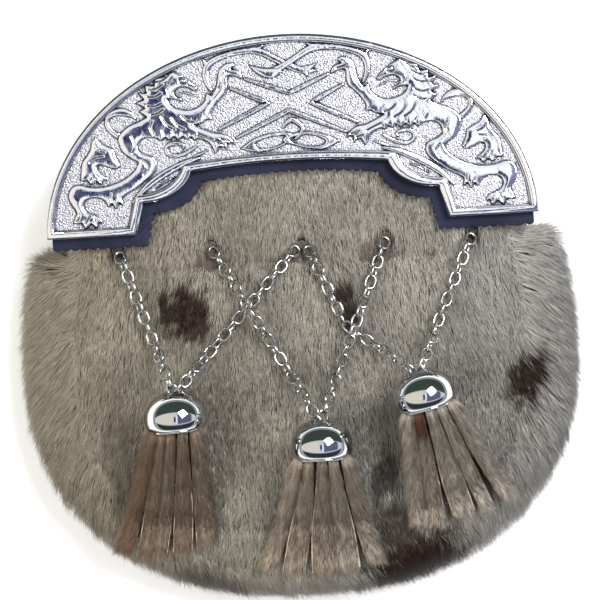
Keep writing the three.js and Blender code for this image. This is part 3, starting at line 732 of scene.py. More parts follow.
relief(bm, ribbon([(-1.7, 32.8), (-0.2, 34.6), (1.6, 35.6), (3.4, 34.6), (5.2, 32.4), (4.0, 30.4), (2.2,
    28.8)],
                  [0.9, 1.5, 1.7, 1.6, 1.5, 1.5, 1.0]), edge_height=0.8, edge_width=0.3, swell=0.1,
                      swell_width=0.8)
add_piece("loop_knot", bm, polished_cast, sharp=50)

# %% Vines above the cross
VINE = ribbon(
    [(-24.5, 46.6), (-26.0, 49.4), (-26.4, 52.6), (-25.2, 55.6), (-21.8, 57.6), (-17.0, 58.9),
     (-12.2, 59.4), (-8.2, 59.2), (-4.2, 57.2), (0.2, 54.6), (4.8, 52.4), (8.4, 51.6)],
    [1.0, 1.8, 2.3, 2.4, 2.1, 1.9, 2.1, 2.6, 2.4, 2.3, 2.6, 1.9],
)
VINE_TIPS = [
    ribbon([(-8.8, 59.6), (-7.4, 60.4), (-6.2, 61.4)], [1.9, 1.2, 0.2]),
    ribbon([(-26.0, 55.4), (-26.6, 57.0), (-27.4, 58.0)], [1.6, 1.0, 0.2]),
    ribbon([(6.0, 52.2), (9.0, 52.8), (11.6, 54.6)], [2.2, 1.9, 0.4]),
    ribbon([(7.0, 51.8), (9.6, 51.6), (12.4, 51.8)], [2.0, 1.5, 0.3]),
    ribbon([(6.4, 51.8), (7.4, 50.8), (7.9, 49.3)], [1.8, 1.3, 0.3]),
]
VINE_LEAF = [smooth_path([
    (-12.0, 54.9, 0), (-6.4, 53.5), (-1.6, 53.1), (-0.7, 51.6), (-3.6, 49.9), (-6.5, 50.2), (-9.6, 52.0),
])]
bm = bmesh.new()
for loops in [VINE, *VINE_TIPS]:
    relief(bm, loops, edge_height=0.6, edge_width=0.3, swell=0.12, swell_width=1.2)
for loops in [VINE, *VINE_TIPS[:2]]:
    relief(bm, mirrored(loops, MIRROR_X), edge_height=0.75, edge_width=0.3, swell=0.12, swell_width=1.2)
relief(bm, VINE_LEAF, edge_height=0.8, edge_width=0.3, swell=0.2, swell_width=1.6)
add_piece("crossed_vines", bm, polished_cast, sharp=50)

# %% Leaves and curls in the inner corners
LEAF_STEM = ribbon(
    [(-53.4, 10.6), (-50.8, 13.4), (-47.4, 16.4), (-43.2, 19.2), (-38.6, 21.6), (-33.8, 23.6), (-29.6, 24.6)],
    [0.9, 1.6, 2.3, 2.5, 2.3, 1.9, 1.0],
)
LEAF_EDGE = ribbon(
    [(-48.6, 12.9), (-44.4, 12.9), (-40.6, 14.3), (-37.2, 16.6), (-35.4, 19.4), (-34.6, 22.2)],
    [0.7, 0.9, 1.0, 1.0, 1.0, 0.7],
)
LEAF_VEIN = ribbon([(-45.4, 15.0), (-41.8, 17.2), (-38.2, 18.8)], [0.4, 0.8, 0.4])
CURL = ribbon(
    [(-29.8, 29.2), (-32.2, 27.6), (-35.2, 26.2), (-38.6, 25.7), (-40.8, 27.2), (-40.4, 29.2), (-37.8, 30.0),
     (-35.0, 29.0), (-35.6, 27.8)],
    [0.8, 1.4, 1.5, 1.5, 1.6, 1.6, 1.5, 1.2, 0.7],
)
BARS = [ribbon([(-32.2, 24.9), (-29.6, 25.9), (-26.8, 27.0)], [0.8, 1.1, 0.7])]
bm = bmesh.new()
for flip in (False, True):
    for loops in [LEAF_STEM, LEAF_EDGE, LEAF_VEIN, CURL, *BARS]:
        placed = mirrored(loops, MIRROR_X) if flip else loops
        relief(bm, placed, edge_height=0.6, edge_width=0.3, swell=0.12, swell_width=1.0)
add_piece("corner_leaves", bm, polished_cast, sharp=50)

# %% [markdown]
# ## The leather under the cantle
# A layer of black leather shows past the cantle's inner edge and below its feet. Its free edge
# is pinked in small scallops. They could be punched out with a boolean for each; instead the
# outline itself swells once in every pitch, because one outline is far lighter.

# %% Leather trim
TRIM_SETBACK = 1.5
TRIM_REACH = 3.0
TRIM_DROP = 3.4
SCALLOP_PITCH = 3.0
SCALLOP_DEPTH = 0.75


def even_points(line, step):
    """Points spread evenly along a line, with the direction at each."""
    length = np.concatenate([[0], np.cumsum(np.linalg.norm(np.diff(line, axis=0), axis=1))])
    places = np.linspace(0, length[-1], round(length[-1] / step) + 1)
    spots = np.stack([np.interp(places, length, line[:, i]) for i in (0, 1)], axis=1)
    ahead = np.gradient(spots, axis=0)
    return places, spots, ahead / np.linalg.norm(ahead, axis=1)[:, None]


trim_a, trim_b = CANTLE_HALF_WIDTH - TRIM_SETBACK, CANTLE_HEIGHT - TRIM_SETBACK
foot_x = ARM_END_X - TRIM_REACH
free_edge = np.vstack([
    [[-trim_a, -TRIM_DROP], [-foot_x, -TRIM_DROP]],
    inner_edge(TRIM_REACH),
    [[foot_x, -TRIM_DROP], [trim_a, -TRIM_DROP]],
])
along, spots, ahead = even_points(free_edge, 0.35)
scallops = round(along[-1] / SCALLOP_PITCH)
swell = SCALLOP_DEPTH * np.abs(np.sin(math.pi * scallops * along / along[-1])) ** 0.8
scalloped = spots + np.stack([ahead[:, 1], -ahead[:, 0]], axis=1) * swell[:, None]
angles = np.linspace(0, math.pi, 90)
crown = np.stack([trim_a * np.cos(angles), trim_b * np.sin(angles)], axis=1)
bm = bmesh.new()
slab(bm, np.vstack([crown, scalloped]), TRIM_LOW, TRIM_TOP, rounding=0.2)
add_piece("scalloped_trim", bm, black_leather, ["leather_trim"], sharp=50)
print(f"{scallops} scallops")

# %% [markdown]
# ## The pouch's shape
# The pouch has a domed front panel, a back panel, and a gusset that bulges between them. All
# three follow superellipses about one centre. Each wall is turned like a pot with the spin
# operator, and the round result is then pressed to the pouch's own outline.

# %% Outlines and heights
POUCH_CENTRE_Y = -45.0
ROUNDNESS = 2.25
POUCH_HALF_WIDTH = 94.0
POUCH_BELOW = 79.5
POUCH_ABOVE = 105.0
PANEL_HALF_WIDTH = 77.0
PANEL_BELOW = 73.0
PANEL_ABOVE = 100.0
FUR_WALL = 4.0
SEAM_LAP = 3.0
BACK_TURN = 10.0
TUCK = 3.0
PILE = 1.7  # depth of the hair over the skin


def super_radius(angle, half_width, above, below):
    half_height = np.where(np.sin(angle) > 0, above, below)
    across = np.abs(np.cos(angle) / half_width) ** ROUNDNESS
    upward = np.abs(np.sin(angle) / half_height) ** ROUNDNESS
    return (across + upward) ** (-1 / ROUNDNESS)


def cantle_radius(angle, inset):
    a, b = CANTLE_HALF_WIDTH - inset, CANTLE_HEIGHT - inset
    c, s = np.cos(angle), np.sin(angle)
    p = (c / a) ** 2 + (s / b) ** 2
    q = s * POUCH_CENTRE_Y / b**2
    r = (POUCH_CENTRE_Y / b) ** 2 - 1
    return (-q + np.sqrt(np.maximum(q * q - p * r, 0))) / p


def pouch_radius(angle):
    """Free below the cantle's feet, tucked behind the cantle above them."""
    free = super_radius(angle, POUCH_HALF_WIDTH, POUCH_ABOVE, POUCH_BELOW)
    height = POUCH_CENTRE_Y + free * np.sin(angle)
    tucked = np.minimum(free, cantle_radius(angle, TUCK))
    return free + (tucked - free) * smoothstep(height, -7, 3)


def panel_radius(angle):
    return super_radius(angle, PANEL_HALF_WIDTH, PANEL_ABOVE, PANEL_BELOW)


def belly_height(x, y):
    across = np.maximum(1 - (x / 76) ** 2, 0)
    upward = np.maximum(1 - ((y + 55) / 46) ** 2, 0)
    belly = across * upward
    return FRONT_Z + 4.5 * np.sqrt(belly) * smoothstep(belly, 0, 0.3)


def panel_height(x, y):
    """The front panel's outer face: a belly that rounds off to the seam."""
    angle = np.arctan2(y - POUCH_CENTRE_Y, x)
    share = np.hypot(x, y - POUCH_CENTRE_Y) / panel_radius(angle)
    fall = smoothstep(share, 0.84, 1) ** 2
    inside_z = belly_height(x, y)
    return inside_z + (FRONT_SEAM_Z + 1.5 - inside_z) * fall


def back_height(y):
    return np.maximum(0, 0.21 * (y + 12))


def gusset_point(angle, bulge, depth=0.0):
    """A point of the gusset's outer face, from the front seam at +90 to the back seam at -90."""
    widest = pouch_radius(angle)
    front_seam = np.minimum(panel_radius(angle) - SEAM_LAP, widest - FUR_WALL)
    seam = np.where(bulge > 0, front_seam, widest - BACK_TURN)
    back_z = back_height(POUCH_CENTRE_Y + seam * np.sin(angle)) + 2.6
    middle, half = (FRONT_SEAM_Z + back_z) / 2, (FRONT_SEAM_Z - back_z) / 2
    radius = seam - depth / 2 + (widest - seam - depth / 2) * np.cos(bulge)
    z = middle + (half - depth / 2) * np.sin(bulge)
    return np.stack([radius * np.cos(angle), POUCH_CENTRE_Y + radius * np.sin(angle), z], axis=-1)


# %% The spin tool
def turned_wall(section, place, start=0.0, sweep=2 * math.pi, steps=128, closed_section=False):
    """Spins a section of (share, level) about the axis, then places every vertex."""
    bm = bmesh.new()
    spots = [
        bm.verts.new((share * math.cos(start), share * math.sin(start), level)) for share, level in section
    ]
    pairs = list(zip(spots, spots[1:])) + ([(spots[-1], spots[0])] if closed_section else [])
    edges = [bm.edges.new(pair) for pair in pairs]
    full = sweep > 6.28
    bmesh.ops.spin(
        bm, geom=spots + edges, cent=(0, 0, 0), axis=(0, 0, 1), angle=sweep, steps=steps, use_merge=full
    )
    bmesh.ops.remove_doubles(bm, verts=bm.verts, dist=1e-5)
    if not full:
        ends = [e for e in bm.edges if len(e.link_faces) == 1]
        bmesh.ops.holes_fill(bm, edges=ends, sides=0)
    bmesh.ops.triangulate(bm, faces=[f for f in bm.faces if len(f.verts) > 4])
    for vert in bm.verts:
        x, y, level = vert.co
        vert.co = place(math.hypot(x, y), math.atan2(y, x), level)
    bmesh.ops.recalc_face_normals(bm, faces=bm.faces)
    return bm


# %% Front panel's hide
PANEL_SHARES = [0, 0.2, 0.4, 0.6, 0.75, 0.84, 0.9, 0.95, 0.98, 1.0]


def place_front(share, angle, level):
    x = share * panel_radius(angle) * math.cos(angle)
    y = POUCH_CENTRE_Y + share * panel_radius(angle) * math.sin(angle)
    skin = float(panel_height(x, y)) - PILE
    return x, y, max(skin, FRONT_SEAM_Z - 0.4) if level else max(skin - 1.6, FRONT_SEAM_Z - 1.0)


section = [(share, 1) for share in PANEL_SHARES] + [(share, 0) for share in reversed(PANEL_SHARES)]
bm = turned_wall(section, place_front)
add_piece("front_hide", bm, fur_skin, ["front_panel"], sharp=60)

# %% Gusset's hide, open at the mouth
MOUTH_HALF_ANGLE = math.atan2(52, 38 - POUCH_CENTRE_Y)
BULGE_STEPS = 14


def place_gusset(share, angle, level):
    return gusset_point(np.float64(angle), np.float64(level), PILE * 2 if share > 1.5 else PILE * 2 + 3.2)


bulges = np.linspace(-math.pi / 2, math.pi / 2, BULGE_STEPS)
section = [(2, b) for b in bulges] + [(1, b) for b in reversed(bulges)]
bm = turned_wall(
    section, place_gusset, math.pi / 2 + MOUTH_HALF_ANGLE, 2 * (math.pi - MOUTH_HALF_ANGLE), 120, True
)
add_piece("gusset_hide", bm, fur_skin, ["gusset"], sharp=60)

# %% [markdown]
# ## The back
# Nobody sees the back when the pouch is worn, so it is plain: a black leather panel sewn round
# its edge, and two loops for the strap. The panel is turned like the front. A loop is a strip
# bent down from the back and up again, extruded across its width from its side profile.

# %% Back panel
STITCH_STANDS = 0.3  # the leather is raised this far; its stitches still reach as far below the floor


def back_reach(angle):
    return pouch_radius(angle) - BACK_TURN + SEAM_LAP


def place_back(share, angle, level):
    reach = float(back_reach(angle))
    x = share * reach * math.cos(angle)
    y = POUCH_CENTRE_Y + share * reach * math.sin(angle)
    return x, y, float(back_height(y)) + level + STITCH_STANDS


section = [(0, 0), (0.3, 0), (0.6, 0), (0.85, 0), (0.96, 0), (0.992, 0), (1, 0.4), (1, 1.6), (0.992, 2),
           (0.96, 2), (0.6, 2), (0, 2)]
bm = turned_wall(section, place_back, steps=160)
add_piece("back_leather", bm, black_leather, ["back_panel"], sharp=40)

# %% Stitches, as many copies of one small bead
def bead(length, width, height):
    """A rounded stitch along X, closed and with few faces."""
    bm = bmesh.new()
    bmesh.ops.create_icosphere(bm, subdivisions=1, radius=0.5)
    bmesh.ops.scale(bm, vec=(length, width, height), verts=bm.verts)
    return bm


def copies(template, places):
    """Joins transformed copies of a small bmesh into one mesh with array copies."""
    template.verts.index_update()
    corners = np.array([v.co[:] for v in template.verts])
    tris = np.array([[v.index for v in f.verts] for f in template.faces])
    turns = np.array([[row[:] for row in place] for place in places])
    moved = np.einsum("nij,kj->nki", turns[:, :3, :3], corners) + turns[:, None, :3, 3]
    count = len(corners)
    faces = tris[None] + (np.arange(len(places)) * count)[:, None, None]
    template.free()
    return mesh_from_arrays("copies", moved.reshape(-1, 3), faces.reshape(-1, tris.shape[1]))


def mesh_from_arrays(name, verts, faces):
    mesh = bpy.data.meshes.new(name)
    sides = faces.shape[1]
    mesh.vertices.add(len(verts))
    mesh.vertices.foreach_set("co", verts.astype(np.float32).ravel())
    mesh.loops.add(faces.size)
    mesh.loops.foreach_set("vertex_index", faces.astype(np.int32).ravel())
    mesh.polygons.add(len(faces))
    mesh.polygons.foreach_set("loop_start", np.arange(0, faces.size, sides, dtype=np.int32))
    mesh.update(calc_edges=True)
    return mesh


def facing(spot, ahead, up=(0, 0, 1)):
    """A matrix that puts X along ahead and Z along up, at the spot."""
    x = Vector(ahead).normalized()
    y = Vector(up).cross(x).normalized()
    z = x.cross(y)
    turn = Matrix((x, y, z)).transposed().to_4x4()
    return Matrix.Translation(spot) @ turn


STITCH_PITCH = 4.0
angles = np.linspace(0, 2 * math.pi, 721)
ring = back_reach(angles) - 3.0
seam = np.stack([ring * np.cos(angles), POUCH_CENTRE_Y + ring * np.sin(angles)], axis=1)
_, spots, ahead = even_points(seam, STITCH_PITCH)
places = [
    facing((x, y, float(back_height(y)) - 0.05), (ax, ay, 0)) for (x, y), (ax, ay) in zip(spots[:-1], ahead)
]
mesh = copies(bead(2.7, 0.8, 0.5), places)
add_piece("back_stitches", mesh, thread)

# %% Belt loops
LOOP_X = 31.0
LOOP_WIDTH = 20.0
LOOP_LEATHER = 1.9
LOOP_ROUTE = [(0.0, 1.1), (3.0, 1.0), (6.5, 0.35), (9.5, 0.0), (17.5, 0.0), (26.0, 0.0), (32.0, 1.6),
              (36.0, 4.8), (40.0, 7.4), (44.0, 9.6)]


def belt_loop(name, centre_x, node):
    """The lower face of the strip follows the route in y and z."""
    lower = smooth_path([(*point,) for point in LOOP_ROUTE], closed=False, samples=6)
    ahead = np.gradient(lower, axis=0)
    ahead /= np.linalg.norm(ahead, axis=1)[:, None]
    lift = np.stack([-ahead[:, 1], ahead[:, 0]], axis=1) * LOOP_LEATHER
    upper = lower + lift
    lower[:, 1] = np.maximum(lower[:, 1], 0)
    limit = back_height(upper[:, 0]) - 0.1
    upper[:, 1] = np.where(upper[:, 0] < 3, np.minimum(upper[:, 1], limit), upper[:, 1])
    upper[:, 1] = np.minimum(upper[:, 1], np.where(upper[:, 0] > 36, limit, 99))
    bm = bmesh.new()
    side = [bm.verts.new((centre_x - LOOP_WIDTH / 2, y, z)) for y, z in np.vstack([lower, upper[::-1]])]
    face = bm.faces.new(side)
    grown = bmesh.ops.extrude_face_region(bm, geom=[face], use_keep_orig=True)
    moved = [v for v in grown["geom"] if isinstance(v, bmesh.types.BMVert)]
    bmesh.ops.translate(bm, vec=(LOOP_WIDTH, 0, 0), verts=moved)
    bmesh.ops.recalc_face_normals(bm, faces=bm.faces)
    rims = [e for e in bm.edges if abs(e.verts[0].co.x - e.verts[1].co.x) < 1e-6]
    bmesh.ops.bevel(
        bm, geom=rims, offset=0.35, offset_type="OFFSET", affect="EDGES",
        segments=2, profile=0.5, material=-1, clamp_overlap=True,
    )
    bmesh.ops.triangulate(bm, faces=[f for f in bm.faces if len(f.verts) > 4])
    bmesh.ops.recalc_face_normals(bm, faces=bm.faces)
    return add_piece(name, bm, black_leather, [node], sharp=45)


belt_loop("strap_loop_left", -LOOP_X, "belt_loop_left")
belt_loop("strap_loop_right", LOOP_X, "belt_loop_right")
places = []
for centre_x in (-LOOP_X, LOOP_X):
    for y, z in ((1.6, 0.9), (41.5, 8.1)):
        for x in np.arange(-8, 8.1, 3.2):
            places.append(facing((centre_x + x, y, z), (1, 0, 0)))
add_piece("loop_stitches", copies(bead(2.2, 0.8, 0.6), places), thread)

# %% [markdown]
# ## Bell caps
# Each tassel hangs from a mirror-bright bell with a hole in its crown. Spun metal is turned on a
# lathe, so the spin operator makes it too: a section of the outer face, the rolled bead at the
# mouth, the inner face and the little lip round the hole.

# %% Tassels' places and leans
# The cap's hole, its lean to the right, and its strips: offset at the mouth and at the tip, length, width.
TASSELS = {
    "left": ((-43.0, -52.7), 3, [
        (-6.6, -22.6, 38, 5.2), (-4.2, -15.8, 40, 6.0), (-1.4, -11.2, 40, 5.8), (2.2, -3.2, 40, 6.6),
            (6.0, 4.6, 38, 5.8),
    ]),
    "middle": ((5.3, -64.7), 0, [
        (-6.8, -19.6, 35, 5.0), (-3.8, -11.8, 37, 7.6), (-0.2, -1.4, 38, 8.6), (3.2, 6.4, 37, 8.6), (6.8,
            15.6, 35, 5.6),
    ]),
    "right": ((38.4, -50.3), 12, [
        (-6.6, -11.8, 36, 6.0), (-3.4, -6.6, 37, 6.0), (0.2, 2.9, 37, 7.6), (3.6, 10.9, 37, 5.0), (6.8,
            18.6, 36, 4.6),
    ]),
}
CAP_RADIUS = 10.5
CAP_HEIGHT = 14.0
CAP_WIDEST = 9.4
CAP_HOLE = 3.2


def tassel_axis(lean):
    return np.array([math.sin(math.radians(lean)), -math.cos(math.radians(lean))])


def axis_height(name):
    hole, lean, _ = TASSELS[name]
    middle = np.array(hole) + tassel_axis(lean) * 0.6 * CAP_HEIGHT
    return float(belly_height(*middle)) + 0.7 + CAP_RADIUS + 0.5


# %% Turn the caps
def cap_section():
    """Radius and depth, down the outside, round the rolled mouth and back up the inside."""
    shares = np.linspace(0, 1, 24) ** 1.4
    radius = CAP_RADIUS * np.sqrt(np.maximum(0, 1 - (1 - shares) ** 2.3))
    dome = [(r, s * CAP_WIDEST) for r, s in zip(radius, shares) if r > CAP_HOLE + 0.9]
    turn = np.linspace(0, 75, 10)[1:]
    tuck = [
        (CAP_RADIUS - 2.6 * (1 - math.cos(math.radians(a))),
            CAP_WIDEST + (CAP_HEIGHT - CAP_WIDEST - 0.5) * math.sin(math.radians(a)))
        for a in turn
    ]
    outer = dome + tuck
    lip_depth = outer[0][1]
    lip = [(CAP_HOLE - 0.1, lip_depth + 0.9), (CAP_HOLE - 0.1, lip_depth - 0.1), (CAP_HOLE + 0.15,
        lip_depth - 0.45),
           (CAP_HOLE + 0.5, lip_depth - 0.5), (CAP_HOLE + 0.75, lip_depth - 0.2)]
    mouth = (tuck[-1][0] - 0.1, tuck[-1][1] + 0.15)
    roll = [
        (mouth[0] + 0.42 * math.cos(math.radians(a)), mouth[1] + 0.42 * math.sin(math.radians(a)))
        for a in np.linspace(-40, 190, 8)
    ]
    inner = [(max(r - 0.8, CAP_HOLE - 0.1), d + 0.8) for r, d in reversed(outer) if d < CAP_HEIGHT - 2.4]
    return lip + outer + roll + inner


def spun_cap(name):
    hole, lean, _ = TASSELS[name]
    bm = bmesh.new()
    ring = [bm.verts.new((r, 0, -d)) for r, d in cap_section()]
    edges = [bm.edges.new(pair) for pair in zip(ring, ring[1:] + ring[:1])]
    bmesh.ops.spin(
        bm, geom=ring + edges, cent=(0, 0, 0), axis=(0, 0, 1), angle=2 * math.pi, steps=72, use_merge=True
    )
    bmesh.ops.remove_doubles(bm, verts=bm.verts, dist=1e-5)
    bmesh.ops.recalc_face_normals(bm, faces=bm.faces)
    axis = Vector((*tassel_axis(lean), 0))
    up = Vector((0, 0, 1))
    turn = Matrix((up.cross(-axis), up, -axis)).transposed().to_4x4()
    bm.transform(Matrix.Translation((*hole, axis_height(name))) @ turn)
    return add_piece(f"bell_cap_{name}", bm, mirror_metal, [f"tassel_cap_{name}"], sharp=60)


for name in TASSELS:
    spun_cap(name)

# %% [markdown]
# ## Chains
# The chains are plain cable chain. Every oval link is rolled against the next one. Each chain
# comes out of a hole in the fur, dips through the bell's crown, and climbs to another hole, so
# the routes make three V's, and the middle chain rides over its neighbours. One link is turned
# as a ring and stretched, and the rest are array copies along the route.

# %% Routes
CHAINS = {
    "left": ("left", (-59.1, -5.8), (0.9, -7.4), [], []),
    "middle": ("middle", (-27.8, -5.9), (30.9, -6.0), [], [(-20.3, -31.1), (15.5, -34.2)]),
    "right": ("right", (4.4, -7.4), (59.9, -6.4), [(15.8, -34.6)], []),
}
LINK_LENGTH = 5.5
LINK_WIDTH = 4.3
WIRE = 0.5
LINK_PITCH = 3.72


def chain_route(name):
    tassel, start, end, bends, crossings = CHAINS[name]
    hole, lean, _ = TASSELS[tassel]
    hole = np.array(hole)
    dip = hole + tassel_axis(lean) * 1.6
    line, ahead = even_points(np.array([start, *bends, dip, end], float), 0.25)[1:]
    lying = belly_height(line[:, 0], line[:, 1]) + 2.4
    climb = smoothstep(np.hypot(*(line - hole).T), 2, 19)
    z = axis_height(tassel) + (lying - axis_height(tassel)) * climb
    for crossing in crossings:
        z += 4.4 * (1 - smoothstep(np.hypot(*(line - crossing).T), 3.5, 14))
    for spot in (start, end):
        z -= 2.6 * (1 - smoothstep(np.hypot(*(line - spot).T), 0, 4.5))
    return np.column_stack([line, z])


def link_shape():
    bm = bmesh.new()
    round_part = LINK_WIDTH / 2 - WIRE
    made = bmesh.ops.create_circle(bm, segments=7, radius=WIRE)
    bmesh.ops.rotate(bm, cent=(0, 0, 0), matrix=Matrix.Rotation(math.pi / 2, 3, "X"), verts=made["verts"])
    bmesh.ops.translate(bm, vec=(round_part, 0, 0), verts=made["verts"])
    bmesh.ops.spin(
        bm, geom=bm.verts[:] + bm.edges[:], cent=(0, 0, 0), axis=(0, 0, 1),
        angle=2 * math.pi, steps=16, use_merge=True,
    )
    bmesh.ops.remove_doubles(bm, verts=bm.verts, dist=1e-5)
    stretch = LINK_LENGTH / 2 - WIRE - round_part
    for vert in bm.verts:
        vert.co.x += math.copysign(stretch, vert.co.x) if abs(vert.co.x) > 0.05 else 0
    bmesh.ops.recalc_face_normals(bm, faces=bm.faces)
    bmesh.ops.triangulate(bm, faces=bm.faces)
    return bm


# %% Lay the links
def cable_chain(name):
    route = chain_route(name)
    length = np.concatenate([[0], np.cumsum(np.linalg.norm(np.diff(route, axis=0), axis=1))])
    count = round(length[-1] / LINK_PITCH)
    pitch = length[-1] / count
    places = []
    for i in range(count):
        before, after = (
            Vector([np.interp(d, length, route[:, k]) for k in range(3)]) for d in (i * pitch,
                (i + 1) * pitch)
        )
        along = after - before
        sway = 8 + 12 * math.sin(i * 0.37 + len(name)) + dice.normal(0, 5)
        roll = Matrix.Rotation(math.radians((62 if i % 2 else 0) + sway), 4, "X")
        places.append(facing((before + after) / 2, along) @ roll)
    mesh = copies(link_shape(), places)
    return add_piece(f"cable_chain_{name}", mesh, chain_metal, [f"chain_{name}"], sharp=80)


for name in CHAINS:
    cable_chain(name)

# %% Holes that the chains come out of
HOLES = [(-59.6, -4.9), (-27.8, -5.3), (2.6, -6.4), (30.9, -5.4), (60.0, -5.2)]


def eyelet_section():
    return [(0, -1.7), (1.2, -1.5), (1.7, -1.0), (2.1, -0.5), (2.4, -1.0), (2.2, -1.8), (1.4, -2.6), (0,
        -2.8)]


places = [Matrix.Translation((x, y, float(belly_height(x, y)) - 0.5)) for x, y in HOLES]
bm = bmesh.new()
ring = [bm.verts.new((r, 0, z)) for r, z in eyelet_section()]
edges = [bm.edges.new(pair) for pair in zip(ring, ring[1:])]
bmesh.ops.spin(bm, geom=ring + edges, cent=(0, 0, 0), axis=(0, 0, 1), angle=2 * math.pi, steps=24,
    use_merge=True)
bmesh.ops.remove_doubles(bm, verts=bm.verts, dist=1e-5)
bmesh.ops.recalc_face_normals(bm, faces=bm.faces)
bmesh.ops.triangulate(bm, faces=bm.faces)
add_piece("chain_holes", copies(bm, places), hole_dark, sharp=40)

# %% [markdown]
# ## Hair
# Seal hair is short, glossy and lies flat, all the way down the pouch. Blender's hair curves
# would be the usual tool, but they leave no mesh behind. So each hair here is a closed needle of
# four faces, and tens of thousands are joined from arrays. A needle knows how far along it is,
# its own tone, and how much brown spot and painted shadow it stands in.

# %% Drifting fields
def ripples(x, y, size, seed):
    """Soft noise between about -1 and 1, with features of the given size."""
    local = np.random.default_rng(seed)
    total = np.zeros_like(x)
    for _ in range(7):
        turn = local.uniform(0, 2 * math.pi)
        wave = size * local.uniform(0.7, 1.6)
        total = total + np.sin((x * math.cos(turn) + y * math.sin(turn)) * 2 * math.pi / wave + local.uniform(0, 6.28))
    return total / 2.6


def unit(vectors):
    return vectors / np.maximum(np.linalg.norm(vectors, axis=1), 1e-9)[:, None]


# %% Needles
LOWEST_HAIR = 0.1


def needles(roots, normals, flow, length, width, lift, tone, brown):
    """One closed needle for each root. Flow lies in the skin and lift is the tip's height."""
    flow = unit(flow - normals * np.sum(flow * normals, axis=1)[:, None])
    side = np.cross(normals, flow) * (width / 2)[:, None]
    tips = roots + flow * length[:, None] + normals * lift[:, None]
    ridge = roots + flow * (length * 0.3)[:, None] + normals * (lift * 0.3 + width * 0.45)[:, None]
    verts = np.stack([roots - side, roots + side, ridge, tips], axis=1)
    verts[:, :, 2] = np.maximum(verts[:, :, 2], LOWEST_HAIR + 0.1 * np.arange(4))
    faces = np.array([(0, 3, 2), (3, 1, 2), (1, 0, 2), (0, 1, 3)])
    count = len(roots)
    index = faces[None] + (np.arange(count) * 4)[:, None, None]
    mesh = mesh_from_arrays("needles", verts.reshape(-1, 3), index.reshape(-1, 3))
    colours = np.ones((count, 4, 4), np.float32)
    colours[:, :, 0] = (0.0, 0.0, 0.35, 1.0)
    colours[:, :, 1] = np.clip(tone, 0, 1)[:, None]
    colours[:, :, 2] = np.clip(brown, 0, 1)[:, None]
    strand = mesh.color_attributes.new("strand", "FLOAT_COLOR", "POINT")
    strand.data.foreach_set("color", colours.ravel())
    return mesh


# %% Brown spots and painted shadows
SPOTS_AND_SHADOWS = [  # centre, half width, half height, lean in degrees, strength
    (-38.0, -24.6, 9.5, 9.0, 30, 1.0), (-35.0, -30.0, 6.5, 5.5, 0, 0.9),
    (15.5, -21.5, 3.4, 5.0, 10, 0.95), (17.4, -29.0, 3.6, 5.0, -10, 0.9),
    (74.6, -52.5, 5.6, 11.0, -24, 1.0), (26.0, -83.0, 4.5, 9.0, -14, 0.8),
    (29.5, -101.0, 8.5, 10.5, 0, 0.85), (32.0, -113.0, 22.0, 8.0, 22, 1.0),
    # The spot at (-60, -76) is brown, and partly painted shadow to the left of the left tassel.
    (-35.0, -115.0, 14.0, 5.0, -24, 0.6), (-60.0, -76.0, 7.0, 22.0, 8, 0.5),
    (43.0, -62.0, 5.0, 4.0, 0, 0.35),
# Painted shadow: dark hair round each chain hole.
] + [(x, y + 0.4, 3.0, 3.2, 0, 0.9) for x, y in HOLES]


def spot_and_shadow_mask(x, y):
    ragged = 0.16 * ripples(x, y, 5.0, 41) + 0.12 * ripples(x, y, 2.0, 42) + dice.normal(0, 0.09, len(x))
    mask = np.zeros_like(x)
    for sx, sy, rx, ry, lean, strength in SPOTS_AND_SHADOWS:
        c, s = math.cos(math.radians(lean)), math.sin(math.radians(lean))
        u, v = (x - sx) * c + (y - sy) * s, (y - sy) * c - (x - sx) * s
        mask = np.maximum(mask, strength * smoothstep(np.hypot(u / rx, v / ry) + ragged, 1.12, 0.72))
    return mask


# %% Hair of the front panel
def below_trim(x, y):
    """How far a point lies below the trim's free edge, on the open side."""
    edge = inner_edge(TRIM_REACH)
    rising = edge[np.argsort(edge[:, 0])]
    top = np.interp(x, rising[:, 0], rising[:, 1])
    return np.where(np.abs(x) < foot_x, top - y, -TRIM_DROP - y)


